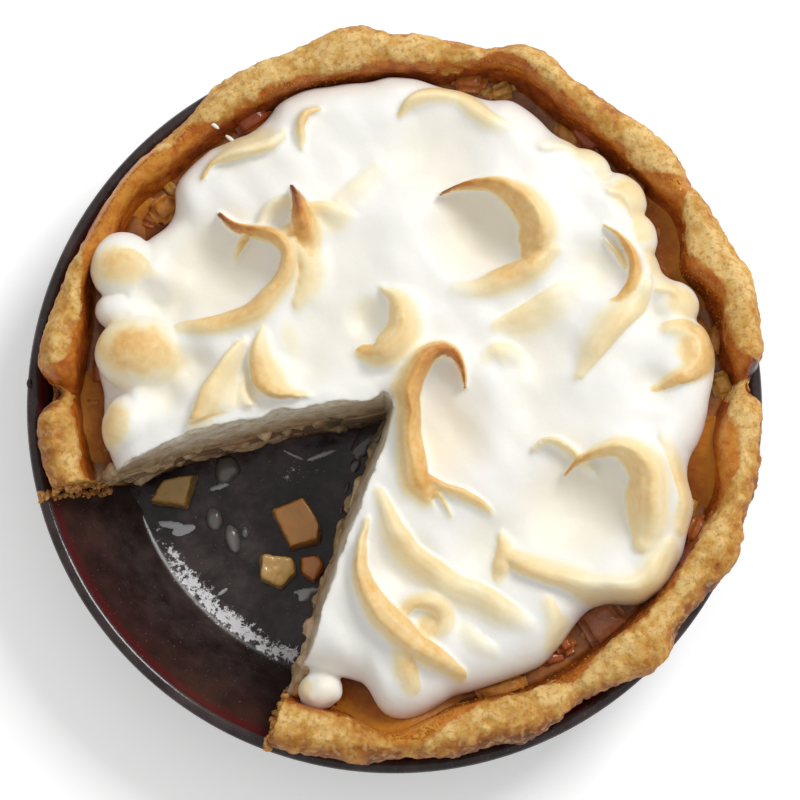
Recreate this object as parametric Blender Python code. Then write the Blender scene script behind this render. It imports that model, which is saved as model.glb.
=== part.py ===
"""Apple meringue pie with one slice taken out, standing in its own deep pie dish.

Metres, +Z up. The origin is the centre of the dish's flat underside. Sizes below are in
millimetres and are turned into metres where the vertices are made. Angles run anticlockwise
from +X. The slice is cut from a point near the middle of the dish towards -X and -Y.
"""
import math
import random

import bmesh
import bpy
import numpy as np
from mathutils import Matrix, Vector

MM = 0.001                 # the numbers below are millimetres
GAP = 0.3                  # clearance between touching solids

# Dish: a deep glazed pie dish, 254 mm across
DISH_RADIUS = 127.0
DISH_HEIGHT = 42.0
DISH_FLOOR = 5.0           # height of the inside floor
FOOT_RADIUS = 97.0
FLOOR_RADIUS = 94.0        # flat part of the inside floor
LIP_RADIUS = 121.8         # inside radius just under the rim
LIP_Z = 39.5
DISH_STEPS = 88

# Slice: its point and the directions of its two cuts
TIP = (-2.0, -2.0)
CUT_RIGHT = 250.6
CUT_LEFT = 194.1
SWEEP_STEPS = 116

# Crust: bottom, wall and a thick rolled rim that sits a little north-east of the dish
CRUST_CENTRE = (2.8, 3.4)
CRUST_THICKNESS = 3.9
RIM_OUTER = 124.0
RIM_INNER = 112.0
RIM_TOP = 56.0
# crests of the crimped rim: angle, outward bulge, half width in degrees
RIM_CRESTS = ((17, 2.8, 7), (42, 1.4, 7), (68, 4.4, 6), (96, 5.0, 7), (114, 1.4, 6), (130, -2.2, 8),
              (148, -2.0, 11), (170, 2.0, 5), (186, 2.2, 7), (252, 5.4, 8), (266, 3.6, 7), (280, 2.4, 6),
              (293, 3.0, 5), (316, 5.0, 5.5), (336, 4.4, 6), (347, 1.4, 4))
# inner edge of the rim: angle, shift, half width in degrees
RIM_INNER_WAVES = ((70, 6.6, 8), (34, 2.4, 4), (25, -4.4, 4.5), (16, 1.5, 5), (5, 2.6, 4), (354, -3.0, 5),
                   (342, 2.8, 7), (311, -1.0, 8), (287, -2.6, 8), (270, 5.0, 6), (254, 0.8, 5), (156, 4.0, 6),
                   (142, 3.2, 6))
# places where syrup broke through the rim: angle, depth, half width in degrees
RIM_NOTCHES = ((177.6, 9.0, 2.4), (3.6, 9.0, 2.4), (37, 2.6, 3), (74, 2.2, 3), (125, 2.4, 4), (303, 2.6, 3))

# Filling and meringue
FILLING_TOP = 38.0
FILLING_CLEARANCE = 1.3    # to the crust's uneven inner wall
MERINGUE_SPAN = 97.5       # distance from its middle at which the meringue's dome has gone
MERINGUE_CENTRE = (2.5, 3.0)
MERINGUE_DEPTH = 19.5      # thickness near the edge
MERINGUE_DOME = 4.5        # extra thickness in the middle
MERINGUE_ROUND = 13.0      # width of the rounded shoulder
LEAN = 3.2                 # how far the cut faces' top lies behind their foot
LEAN_WIDTH = 9.0           # distance from a cut over which the lean dies away
MERINGUE_CLEARANCE = 1.5   # to the crust's inner wall
REMESH_SIZE = 1.5
MERINGUE_TRIANGLES = 5600

# Edge of the meringue: angle and distance from the dish's middle
EDGE = ((0, 108), (4, 110), (8, 112), (12, 111), (15, 107.5), (18, 110), (22, 109), (25, 102.7), (28.7, 104),
        (31.6, 103.6), (33.2, 106), (37.6, 107), (39.2, 110.4), (41.8, 112.2), (45, 110.6), (47.6, 107),
        (49.6, 108.4), (54.5, 109.6), (59, 108.5), (62, 110.5), (69, 114), (73, 110.5), (82, 112), (87, 114),
        (91, 114.5), (95, 112.5), (106, 114), (111, 112.5), (114, 108.5), (118, 106.5), (127, 109.5),
        (135, 107.5), (139, 100.5), (143, 100), (147, 103), (156, 104), (162, 103), (173, 103), (178, 100),
        (188, 100), (196, 98), (252, 96), (262, 96), (265, 97.5), (267, 106), (270, 109), (273, 109),
        (277, 106.5), (281, 102.5), (293, 102.5), (299, 103.5), (304, 101), (309, 98), (313, 97), (317, 101),
        (320, 109), (325, 112), (331, 112), (336, 110), (341, 109), (345, 104), (349, 103), (353, 106),
        (357, 107.5))

# Balls of meringue piled at the edge: x, y, z of the middle, radius along X, along Y and upwards
BALLS = ((-93.5, 46.5, 48, 11.5, 12, 11.5), (-94, 31, 47, 9, 7, 9), (-87, 16, 51, 15.5, 13, 14.5),
         (-90, -9.5, 47.5, 10, 12.5, 13.5), (-25.6, -98.6, 44, 7.8, 7.4, 6.8), (101, 17, 47, 8, 11, 10.5),
         (95, 33, 46, 10, 9, 10), (75.5, 69, 46, 11.5, 10.5, 10.5), (81.5, 56, 46, 9.5, 10, 10.5),
         (64, 79, 46, 11, 9, 10))

# Hollows left by the back of a spoon: x, y, radius, depth
BOWLS = ((-61, 45, 16, 10), (29, 57, 15, 10), (14, -13, 15, 8), (62, -37, 17, 10), (47, 18, 14, 5),
         (-20, 22, 15, 4), (14, 86, 15, 5), (70, 45, 9, 6), (33, -50, 12, 5), (-50, 6, 8, 4), (4, -58, 9, 5),
         (-33, 8, 10, 3), (47, -6, 12, 3), (22, -72, 8, 3), (-18, 47, 14, 3), (-5, 78, 14, 3), (-77, 31, 8, 8),
         (-78, 1, 6, 7), (-69, 10, 7, 6), (-97, 3, 6, 8), (88, 30, 6, 5), (88, 4, 6, 4),
         (-84, 34, 5, 7), (-9, 27, 6, 4))

# Swirls and ridges: side of the hollow (1 is left of the way the points run), then the crest's
# points, each with x, y, rise, half width towards the hollow and half width away from it
STROKES = {
    "hook_northwest": (-1, ((-60, 63, 6, 0.7, 0.7), (-55, 59, 9, 1.3, 1.3), (-49, 57, 11, 2, 2),
              (-42, 55, 12, 2.3, 2.7), (-37, 51, 12, 2.7, 3.3), (-36, 46, 11, 3, 3.3), (-38, 40, 9, 3.3, 4),
              (-43, 34, 8, 3.7, 4.3), (-48, 29, 7, 4, 4.7), (-56, 26, 5, 3.7, 4), (-65, 24, 4, 3, 3),
              (-73, 24, 2, 2.3, 2.3))),
    "northwest_spur": (1, ((-50, 56, 9, 1.3, 1.7), (-53, 52, 5, 1.3, 1.7), (-55, 48, 2, 1, 1.7))),
    "northwest_leaf": (-1, ((-34, 53, 8, 2.3, 4), (-30, 45, 6, 3, 6), (-30, 38, 4, 3.3, 5.3),
              (-33, 32, 2, 2, 3))),
    "fin": (-1, ((-35, 71, 13, 0.7, 1), (-33, 66, 14, 1.7, 3), (-32, 61, 13, 3, 5), (-30, 55, 10, 4, 5.7),
              (-28, 50, 3, 2.7, 3.3))),
    "fin_right": (1, ((-31, 63, 11, 2, 4.7), (-26, 65, 7, 2, 5), (-19, 64, 3, 2, 4.7))),
    "fin_left": (1, ((-31, 58, 11, 2.3, 3), (-35, 56, 8, 2, 3), (-39, 55, 6, 2, 2.7))),
    "small_curl": (1, ((-26, 100, 3, 1, 1), (-30, 98, 5, 1.3, 1.7), (-32, 94, 5, 1.3, 2),
              (-32, 90, 4, 1.3, 1.7), (-32, 86, 2, 1, 1))),
    "northwest_edge": (-1, ((-66, 76, 2, 1, 1), (-62, 81, 5, 1.3, 2), (-53, 84, 7, 1.7, 5),
              (-44, 86, 6, 2, 4.7), (-39, 90, 3, 2, 3))),
    "west_leaf": (-1, ((-45, 23, 2, 1, 2), (-47, 17, 5, 1.5, 5), (-47.5, 12, 7, 1.8, 7), (-46, 5, 8, 2, 9),
              (-42, 0, 8, 2, 8), (-37, -3, 7, 1.8, 6), (-32, -4.5, 4, 1.5, 4))),
    "west_leaf_low": (-1, ((-53, 18, 3, 1.3, 3), (-58, 11, 6, 1.7, 6.4), (-64, 2, 7, 2, 8.7),
              (-67, -9, 6, 2, 8.7))),
    "tip_petal": (-1, ((-4, 36.5, 3, 1.2, 1.5), (0.5, 33, 7, 3, 4), (3, 27, 9, 5, 5.5), (2.5, 21, 9, 6, 6.5),
              (-1.5, 16.5, 9, 6, 6.5), (-6, 14, 7, 4.5, 5), (-10.5, 15, 3, 3, 3))),
    "north_edge": (1, ((2, 98, 2, 1, 1.3), (5, 102, 5, 2, 2.7), (10, 105, 6, 2.7, 3.7),
              (17, 106, 7, 3.3, 3.7), (23, 105, 6, 4, 4), (28, 100, 5, 4, 4), (33, 96, 3, 3.3, 3.7),
              (39, 94, 1, 2, 2.7))),
    "hook_north": (-1, ((16, 70, 8, 0.6, 0.6), (21, 72, 10, 1, 1), (27, 73, 12, 1.7, 1.7),
              (34, 73, 13, 2.7, 2.7), (40, 70, 14, 4, 4.3), (45, 66, 14, 5.7, 5.3), (49, 60, 13, 7, 5.7),
              (49, 53, 10, 7, 5.7), (48, 49, 6, 5.3, 5))),
    "north_low": (-1, ((54, 50, 5, 2.3, 3), (49, 46, 7, 3.3, 4.3), (44, 43, 7, 4.7, 5), (37, 40, 6, 5, 5),
              (30, 37, 4, 4.3, 4), (21, 37, 1, 2.3, 2.7))),
    "north_lower": (1, ((35, 25, 1, 2, 3.3), (42, 27, 3, 3.3, 7.4), (50, 32, 4, 3.3, 8.7),
              (58, 38, 2, 2.7, 6.7))),
    "knob": (1, ((31, 14, 1, 2, 3), (35, 16, 3, 3, 4.3), (40, 15, 3, 3, 4.3), (43, 12, 1, 2, 3))),
    "thin_hook_east": (-1, ((72, 59, 3, 0.7, 0.7), (76, 56, 6, 1, 1.3), (80, 51, 8, 1.7, 2),
              (82, 45, 8, 2, 2.3), (81, 39, 6, 2.3, 2.3), (77, 34, 4, 1.3, 2), (74, 33, 2, 0.7, 1))),
    "east_leaf": (1, ((87, 40, 4, 1.3, 3.3), (84, 32, 5, 2.3, 6), (77, 25, 6, 2.7, 7.4),
              (70, 17, 5, 2.7, 6.7), (63, 7, 2, 1.3, 2.3))),
    "east_edge": (-1, ((51, 87, 2, 2, 2.7), (59, 88, 3, 2.3, 4), (67, 85, 3, 2.7, 4.7), (72, 78, 3, 2.7, 4))),
    "east_edge_low": (-1, ((74, 72, 2, 2, 3.3), (80, 71, 3, 3, 4), (84, 64, 3, 3.3, 4),
              (86, 58, 2, 2.7, 3.3))),
    "east_lobe": (-1, ((90, 38, 1, 2, 3), (95, 38, 2, 2.3, 4), (100, 34, 2, 2.7, 3.7))),
    "east_spiral": (1, ((93, 24, 2, 2, 2.7), (100, 24, 3, 3.3, 3.7), (105, 20, 4, 4.3, 3.7),
              (105, 13, 4, 4.7, 4), (100, 8, 4, 3.3, 4), (94, 5, 3, 1.7, 3.7), (89, 3, 1, 1, 2))),
    "hook_middle": (1, ((24, 3, 5, 0.6, 0.6), (23, 9, 9, 1, 1.3), (20, 14, 12, 2, 2.3), (15, 15, 14, 3, 3.3),
              (10, 12, 15, 3.7, 4.3), (6, 4, 15, 4, 5.3), (4, -3, 15, 4.7, 6), (4, -12, 14, 5, 6.4),
              (6, -20, 12, 4.7, 6.7), (8, -28, 9, 4, 6.7), (11, -33, 5, 3, 4.7))),
    "middle_branch": (1, ((11, -28, 7, 1.7, 2), (17, -31, 6, 1.7, 2.3), (23, -33, 5, 1.7, 2.7),
              (30, -37, 3, 1.3, 2), (33, -40, 1, 1, 1))),
    "south_long": (1, ((-7, -32, 2, 1.7, 2.7), (-3, -39, 4, 3, 4), (1, -47, 6, 4, 5), (6, -54, 6, 4.3, 5.3),
              (13, -60, 6, 5, 5.3), (20, -65, 5, 5, 5.7), (29, -68, 4, 4.7, 6), (37, -73, 3, 4, 5.3),
              (45, -77, 1, 2.7, 3.3))),
    "south_edge": (1, ((-11, -42, 3, 1.3, 1.7), (-13, -51, 6, 3, 2.3), (-13, -59, 8, 4.3, 2.7),
              (-10, -67, 9, 5.3, 3), (-6, -74, 9, 6.7, 3.3), (0, -80, 9, 7, 3.7), (6, -85, 8, 6, 3.7),
              (14, -89, 6, 4.3, 3.7), (22, -94, 3, 2.7, 2.7))),
    "south_drop": (1, ((3, -88, 4, 3.3, 4), (4, -93, 3, 4.3, 4.3), (6, -98, 1, 3.3, 3.7))),
    "south_knot": (-1, ((3, -74, 3, 1.7, 2.3), (7, -70, 5, 2.3, 3.3), (13, -70, 5, 2.7, 3.7),
              (17, -73, 4, 3, 3.3), (17, -78, 3, 2.7, 2.7), (13, -81, 1, 1.7, 2))),
    "east_crest": (1, ((47, -18, 3, 0.7, 1), (52, -15, 6, 1.3, 1.3), (58, -17, 6, 1.3, 2),
              (63, -21, 5, 1.3, 2), (68, -25, 3, 1, 1.7))),
    "hook_east": (-1, ((58, -26, 6, 0.6, 0.6), (62, -22, 9, 1, 1.3), (69, -19, 11, 2, 2.7),
              (76, -18, 13, 3.3, 4), (82, -21, 13, 5.3, 5.7), (86, -27, 12, 7, 7), (86, -35, 11, 7.4, 7),
              (86, -42, 8, 6.7, 6.7), (85, -49, 4, 4.7, 5.3))),
    "east_stripe": (-1, ((91, -14, 2, 2, 2.7), (96, -23, 4, 3, 3.3), (99, -33, 4, 3, 3.3),
              (98, -44, 3, 2.7, 3))),
    "southeast_star": (-1, ((36, -47, 2, 1.3, 1.7), (37, -52, 4, 2.7, 3.3), (36, -57, 4, 3, 4),
              (35, -61, 1, 2, 2.7))),
    "southeast_long": (-1, ((37, -53, 4, 2, 3), (43, -57, 6, 3, 4.7), (51, -60, 6, 3.7, 5.3),
              (59, -62, 7, 4, 5.3), (67, -65, 7, 5.3, 5.3), (76, -66, 7, 6.7, 5.7), (84, -64, 7, 7.4, 6),
              (89, -58, 6, 6, 5.7), (92, -51, 4, 4.7, 4.3))),
    "south_lip": (1, ((52, -70, 1, 2.3, 3), (54, -76, 2, 3, 3.7), (54, -84, 2, 2.7, 3.7))),
}

# Apple pieces left on the dish floor: outline corners (x, y), height, slope of the top along X and Y
CHUNKS = {
    "floor_chunk_1": (((-87, -32), (-73, -34), (-69.5, -21.5), (-82, -24)), 13, 0.1, 0.35),
    "floor_chunk_2": (((-44, -34), (-32, -29.5), (-25.5, -40), (-26, -46), (-37, -49)), 13, 0.2, 0.1),
    "floor_chunk_3": (((-47.5, -49.5), (-36, -51), (-34, -57), (-40, -62.5), (-47.5, -59)), 11, -0.2, 0.1),
    "floor_chunk_4": (((-33.5, -50.5), (-26.5, -50), (-24.5, -54.5), (-28, -60), (-33, -57)), 9, 0.1, -0.1),
}
TAPER = 0.12               # how much smaller a piece's top is than its foot

# Apple pieces that show in the filling: at the ring round the meringue (angle, width) and at the
# two cut faces (distance from the tip, height, width)
RING_CHUNKS = ((138, 8), (313, 9))
LEFT_FACE_CHUNKS = ((17, 17, 12), (33, 25, 13), (48, 18, 14), (64, 27, 13), (80, 19, 14), (92, 30, 11))
RIGHT_FACE_CHUNKS = ((22, 24, 12), (38, 17, 14), (54, 26, 13), (70, 18, 14), (86, 27, 13))


def direction(degrees):
    return math.cos(math.radians(degrees)), math.sin(math.radians(degrees))


def reach(degrees, radius, centre):
    """Distance from the slice's tip, going this way, to a circle round a centre."""
    ex, ey = direction(degrees)
    ox, oy = TIP[0] - centre[0], TIP[1] - centre[1]
    along = ox * ex + oy * ey
    return -along + math.sqrt(radius ** 2 - ox ** 2 - oy ** 2 + along ** 2)


def waves(degrees, table):
    """Sum of rounded bumps: each row is (angle, size, half width)."""
    total = 0.0
    for angle, size, width in table:
        offset = (degrees - angle + 180) % 360 - 180
        total += size * math.exp(-(offset / width) ** 2)
    return total


def material(name, color, roughness, subsurface=0.0):
    result = bpy.data.materials.new(name)
    result.use_nodes = True
    shader = result.node_tree.nodes["Principled BSDF"]
    shader.inputs["Base Color"].default_value = (*color, 1)
    shader.inputs["Roughness"].default_value = roughness
    shader.inputs["Metallic"].default_value = 0.0
    shader.inputs["Subsurface Weight"].default_value = subsurface
    return result


def add_object(name, mesh_source, finish, sharp_degrees=40):
    """Turn a bmesh in millimetres into an object in metres."""
    bmesh.ops.scale(mesh_source, vec=(MM, MM, MM), verts=mesh_source.verts)
    bmesh.ops.recalc_face_normals(mesh_source, faces=mesh_source.faces)
    mesh = bpy.data.meshes.new(name)
    mesh_source.to_mesh(mesh)
    mesh_source.free()
    mesh.shade_smooth()
    mesh.set_sharp_from_angle(angle=math.radians(sharp_degrees))
    obj = bpy.data.objects.new(name, mesh)
    bpy.context.collection.objects.link(obj)
    obj.data.materials.append(finish)
    return obj


def apply_modifiers(obj):
    """Keep the shape that the modifiers give and remove them."""
    depsgraph = bpy.context.evaluated_depsgraph_get()
    result = bpy.data.meshes.new_from_object(obj.evaluated_get(depsgraph))
    obj.modifiers.clear()
    obj.data = result


# ---------------------------------------------------------------- dish

def make_dish(finish):
    """The dish is its half profile turned round the Z axis."""
    rim = DISH_RADIUS
    profile = ((0, 0), (FOOT_RADIUS, 0), (FOOT_RADIUS + 2, 0.9), (rim - 2.2, 37.2), (rim, 39.4),
               (rim, 40.8), (rim - 1.0, 41.8), (rim - 2.4, DISH_HEIGHT), (rim - 3.8, 41.7),
               (LIP_RADIUS + 0.5, 40.8), (LIP_RADIUS, LIP_Z), (100.0, 8.5), (97.4, 6.1),
               (FLOOR_RADIUS, DISH_FLOOR), (0, DISH_FLOOR))
    bm = bmesh.new()
    verts = [bm.verts.new((radius, 0, z)) for radius, z in profile]
    edges = [bm.edges.new(pair) for pair in zip(verts, verts[1:])]
    bmesh.ops.spin(bm, geom=verts + edges, cent=(0, 0, 0), axis=(0, 0, 1), angle=2 * math.pi,
                   steps=DISH_STEPS, use_duplicate=False)
    bmesh.ops.remove_doubles(bm, verts=bm.verts, dist=0.001)
    return add_object("pie_dish", bm, finish, 30)


# ---------------------------------------------------------------- crust and filling

def rim_inner(degrees):
    return RIM_INNER + waves(degrees, RIM_INNER_WAVES)


def crust_profile(degrees):
    """Cross-section of the crust: (distance from the tip, z) from the axis and back to it."""
    outer = RIM_OUTER + waves(degrees, RIM_CRESTS)
    inner = rim_inner(degrees)
    notch = waves(degrees, RIM_NOTCHES)
    top = RIM_TOP + 0.45 * waves(degrees, RIM_CRESTS) - notch
    outer -= 0.55 * notch
    slim = min(1.0, (outer - inner) / 12)
    rim_reach = reach(degrees, outer, CRUST_CENTRE)

    def wall(radius, z):
        return min(reach(degrees, radius, (0, 0)), rim_reach - 1.2), z

    def rim(radius, z):
        return reach(degrees, radius, CRUST_CENTRE), z

    bottom = DISH_FLOOR + GAP + 0.05
    floor = bottom + CRUST_THICKNESS
    return [(0, bottom), wall(FLOOR_RADIUS - 0.3, bottom), wall(97.0, 6.6), wall(99.5, 9.1),
            wall(LIP_RADIUS - 0.6, LIP_Z), wall(LIP_RADIUS - 0.1, 41.3), wall(LIP_RADIUS + 1.2, 42.35),
            rim(outer - 1.2, 42.45), rim(outer, 45.6), rim(outer - 0.6, top - 5.4),
            rim(outer - 3.0 * slim, top - 1.6), rim(outer - 6.2 * slim, top), rim(inner + 2.8 * slim, top - 0.8),
            rim(inner, top - 4.2), rim(inner - 1.0, 40.5),
            wall(96.2, floor + 2.4), wall(92.0, floor), (0, floor)]


def filling_side(degrees, z):
    """Distance from the tip to the filling's side, just inside the crust's inner wall."""
    profile = crust_profile(degrees)
    (high_reach, high_z), (low_reach, low_z) = profile[-4], profile[-3]
    share = (z - low_z) / (high_z - low_z)
    return low_reach + share * (high_reach - low_reach) - FILLING_CLEARANCE


def filling_profile(degrees):
    crust_floor = crust_profile(degrees)[-1][1]
    corner, shelf = crust_floor + 2.4, crust_floor + GAP
    return [(0, shelf), (reach(degrees, 91.4, (0, 0)), shelf), (filling_side(degrees, corner), corner + GAP),
            (filling_side(degrees, FILLING_TOP - 1.2), FILLING_TOP - 1.2),
            (filling_side(degrees, FILLING_TOP - 1.2) - 1.2, FILLING_TOP), (0, FILLING_TOP)]


def sector(profile, steps):
    """Sweep a cross-section round the slice's tip from one cut to the other and close both ends."""
    start, stop = CUT_RIGHT, CUT_LEFT + 360
    bm = bmesh.new()
    first, last = profile(start)[0], profile(start)[-1]
    axis_low = bm.verts.new((TIP[0], TIP[1], first[1]))
    axis_high = bm.verts.new((TIP[0], TIP[1], last[1]))
    rows = []
    for step in range(steps + 1):
        degrees = start + (stop - start) * step / steps
        ex, ey = direction(degrees)
        row = [bm.verts.new((TIP[0] + rho * ex, TIP[1] + rho * ey, z)) for rho, z in profile(degrees)[1:-1]]
        rows.append([axis_low] + row + [axis_high])
    for left, right in zip(rows, rows[1:]):
        for k in range(len(left) - 1):
            corners = [left[k], right[k], right[k + 1], left[k + 1]]
            unique = [vert for i, vert in enumerate(corners) if vert not in corners[:i]]
            bm.faces.new(unique)
    bm.faces.new(rows[0])
    bm.faces.new(rows[-1])
    return bm


def make_crust(finish):
    return add_object("crust", sector(crust_profile, SWEEP_STEPS), finish, 50)


def block(size, spin, tilt, location, seed, round_off=0.22):
    """A cut piece of apple: an uneven box with bevelled edges."""
    rng = random.Random(seed)
    bm = bmesh.new()
    bmesh.ops.create_cube(bm, size=1.0)
    for vert in bm.verts:
        vert.co += Vector([rng.uniform(-0.12, 0.12) for _ in range(3)])
        vert.co = Vector([c * s for c, s in zip(vert.co, size)])
    bmesh.ops.bevel(bm, geom=bm.edges, offset=round_off * min(size), segments=1, affect="EDGES")
    bmesh.ops.triangulate(bm, faces=bm.faces)
    turn = Matrix.Rotation(math.radians(spin), 4, "Z") @ Matrix.Rotation(math.radians(tilt), 4, "X")
    bmesh.ops.transform(bm, matrix=Matrix.Translation(location) @ turn, verts=bm.verts)
    return bm


def filling_pieces():
    """Apple pieces that stand out of the filling, at the ring and at both cut faces."""
    for index, (angle, width) in enumerate(RING_CHUNKS):
        ex, ey = direction(angle)
        depth = 4.4
        out = filling_side(angle, FILLING_TOP - 3.0) - 1.0 - depth / 2
        place = (TIP[0] + out * ex, TIP[1] + out * ey, FILLING_TOP - 0.6)
        yield block((depth, width, 6.0), angle, 4, place, 20 + index)
    for faces, angle, side in ((LEFT_FACE_CHUNKS, CUT_LEFT, 1), (RIGHT_FACE_CHUNKS, CUT_RIGHT, -1)):
        ex, ey = direction(angle)
        for index, (out, z, width) in enumerate(faces):
            inward = 2.4 + 0.5 * (index % 2)
            place = (TIP[0] + out * ex + side * inward * ey, TIP[1] + out * ey - side * inward * ex, z)
            yield block((width, 7.0, 8.5), angle, 12 * (-1) ** index, place, 60 + index + 40 * side)


def make_filling(finish):
    core = add_object("filling", sector(filling_profile, SWEEP_STEPS), finish, 35)
    pieces = bpy.data.collections.new("filling_pieces")
    for index, bm in enumerate(filling_pieces()):
        piece = add_object(f"piece_{index}", bm, finish)
        bpy.context.collection.objects.unlink(piece)
        pieces.objects.link(piece)
    union = core.modifiers.new("pieces", "BOOLEAN")
    union.operation = "UNION"
    union.operand_type = "COLLECTION"
    union.collection = pieces
    apply_modifiers(core)
    for piece in list(pieces.objects):
        bpy.data.objects.remove(piece)
    bpy.data.collections.remove(pieces)
    return core


def make_chunk(name, finish):
    """A piece of apple on the dish floor: a tapering prism with a sloping top and bevelled edges."""
    corners, height, slope_x, slope_y = CHUNKS[name]
    base = DISH_FLOOR + GAP
    cx = sum(corner[0] for corner in corners) / len(corners)
    cy = sum(corner[1] for corner in corners) / len(corners)
    bm = bmesh.new()

    def ring(level):
        """The outline at a height above the foot, sheared along with the sloping top."""
        size = 1 - TAPER * level / height
        points = [(cx + (x - cx) * size, cy + (y - cy) * size) for x, y in corners]
        return [bm.verts.new((x, y, base + level + slope_x * (x - cx) + slope_y * (y - cy))) for x, y in points]

    low, high = ring(-height), ring(height)
    bm.faces.new(low)
    bm.faces.new(high)
    for k in range(len(corners)):
        j = (k + 1) % len(corners)
        bm.faces.new((low[k], low[j], high[j], high[k]))
    upper_edges = [edge for edge in bm.edges if any(vert in high for vert in edge.verts)]
    bmesh.ops.bevel(bm, geom=upper_edges, offset=1.1, segments=1, affect="EDGES")
    bmesh.ops.recalc_face_normals(bm, faces=bm.faces)
    cut = bmesh.ops.bisect_plane(bm, geom=bm.verts[:] + bm.edges[:] + bm.faces[:], plane_co=(0, 0, base),
                                 plane_no=(0, 0, 1), clear_inner=True)
    foot = [item for item in cut["geom_cut"] if isinstance(item, bmesh.types.BMEdge)]
    bmesh.ops.contextual_create(bm, geom=foot)
    bmesh.ops.triangulate(bm, faces=bm.faces)
    return add_object(name, bm, finish, 35)


# ---------------------------------------------------------------- meringue

def smooth_curve(points, count):
    """Points spread along a Catmull-Rom curve through the given ones."""
    table = np.array(points, dtype=float)
    padded = np.vstack([2 * table[0] - table[1], table, 2 * table[-1] - table[-2]])
    where = np.linspace(0, len(table) - 1 - 1e-6, count)
    index = where.astype(int)
    t = (where - index)[:, None]
    a, b, c, d = (padded[index + k] for k in range(4))
    return 0.5 * (2 * b + (c - a) * t + (2 * a - 5 * b + 4 * c - d) * t ** 2
                  + (3 * b - a - 3 * c + d) * t ** 3)


def ripple(x, y, scale, seed):
    """Soft uneven waves between -1 and 1, about one scale long."""
    rng = random.Random(seed)
    total = np.zeros_like(x)
    for _ in range(5):
        angle, phase = rng.uniform(0, math.pi), rng.uniform(0, 2 * math.pi)
        length = scale * rng.uniform(0.7, 1.5)
        total += np.sin((x * math.cos(angle) + y * math.sin(angle)) * 2 * math.pi / length + phase)
    return total / 5


def stroke_field(x, y, stroke):
    """Height that one ridge gives at each point: steep towards the hollow, gentle away from it."""
    side_sign, points = stroke
    crest = smooth_curve(points, 8 * len(points))
    crest[:, 2:] = np.clip(crest[:, 2:], 0.05, None)
    squared = (x[..., None] - crest[:, 0]) ** 2 + (y[..., None] - crest[:, 1]) ** 2
    near = squared.argmin(axis=-1)
    distance = np.sqrt(squared.min(axis=-1))
    heading = np.gradient(crest[:, :2], axis=0)
    side = (x - crest[near, 0]) * -heading[near, 1] + (y - crest[near, 1]) * heading[near, 0]
    hollow = side * side_sign > 0
    across = distance / np.where(hollow, crest[near, 3], crest[near, 4])
    steep = np.sqrt(np.clip(1 - across ** 2, 0, 1))
    gentle = np.exp(-1.1 * across ** 2)
    return crest[near, 2] * np.where(hollow, steep, gentle)


def meringue_top(x, y):
    """Top of the meringue without its rounded shoulder."""
    away = np.hypot(x - MERINGUE_CENTRE[0], y - MERINGUE_CENTRE[1])
    top = FILLING_TOP + MERINGUE_DEPTH + MERINGUE_DOME * (1 - (away / MERINGUE_SPAN) ** 2)
    top += 1.1 * ripple(x, y, 34, 4) + 0.6 * ripple(x, y, 15, 8)
    for bx, by, radius, depth in BOWLS:
        top -= depth * np.exp(-(((x - bx) ** 2 + (y - by) ** 2) / radius ** 2) ** 1.3)
    power = sum(stroke_field(x, y, stroke) ** 4 for stroke in STROKES.values())
    return top + power ** 0.25


def edge_reach(degrees):
    """Distance of the meringue's edge from the dish's middle."""
    angles, edges = zip(*EDGE)
    around = [np.interp(degrees + offset, angles, edges, period=360) for offset in (-1.4, -0.7, 0, 0.7, 1.4)]
    return sum(around) / len(around)


def meringue_outline(count):
    """Evenly spread points round the meringue: the outer curve and both cut edges."""
    points = [TIP]
    for degrees in np.linspace(CUT_RIGHT, CUT_LEFT + 360, 400):
        ex, ey = direction(degrees)
        rho = MERINGUE_SPAN
        for _ in range(3):
            x, y = TIP[0] + rho * ex, TIP[1] + rho * ey
            rho += float(edge_reach(np.degrees(np.arctan2(y, x)))) - math.hypot(x, y)
        points.append((TIP[0] + rho * ex, TIP[1] + rho * ey))
    points.append(TIP)
    line = np.array(points)
    length = np.concatenate([[0], np.cumsum(np.linalg.norm(np.diff(line, axis=0), axis=1))])
    spread = np.linspace(0, length[-1], count, endpoint=False)
    return np.stack([np.interp(spread, length, line[:, k]) for k in range(2)], axis=1)


def cut_distance(x, y):
    """How far each point is from the two cut planes, positive on the pie's side."""
    distances = []
    for angle, side in ((CUT_LEFT, -1), (CUT_RIGHT, 1)):
        ex, ey = direction(angle)
        distances.append(side * ((y - TIP[1]) * ex - (x - TIP[0]) * ey))
    return distances


def push_out_of_slice(points):
    """Move points that lie in the missing slice onto the nearer cut plane."""
    left, right = cut_distance(points[:, 0], points[:, 1])
    inside = (left < 0) & (right < 0)
    for angle, side, distance, other in ((CUT_LEFT, -1, left, right), (CUT_RIGHT, 1, right, left)):
        ex, ey = direction(angle)
        chosen = inside & (distance >= other)
        points[chosen, 0] += side * distance[chosen] * ey
        points[chosen, 1] -= side * distance[chosen] * ex


def lean_back(points):
    """Tilt the meringue's cut faces away from the slice, more the higher a point lies."""
    rise = LEAN * np.clip((points[:, 2] - FILLING_TOP) / MERINGUE_DEPTH, 0, 1.2)
    distances = cut_distance(points[:, 0], points[:, 1])
    for angle, side, distance in zip((CUT_LEFT, CUT_RIGHT), (-1, 1), distances):
        ex, ey = direction(angle)
        ahead = (points[:, 0] - TIP[0]) * ex + (points[:, 1] - TIP[1]) * ey
        shift = rise * np.exp(-(distance / LEAN_WIDTH) ** 2) * np.clip((ahead + 6) / 9, 0, 1)
        points[:, 0] -= side * shift * ey
        points[:, 1] += side * shift * ex


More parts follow.
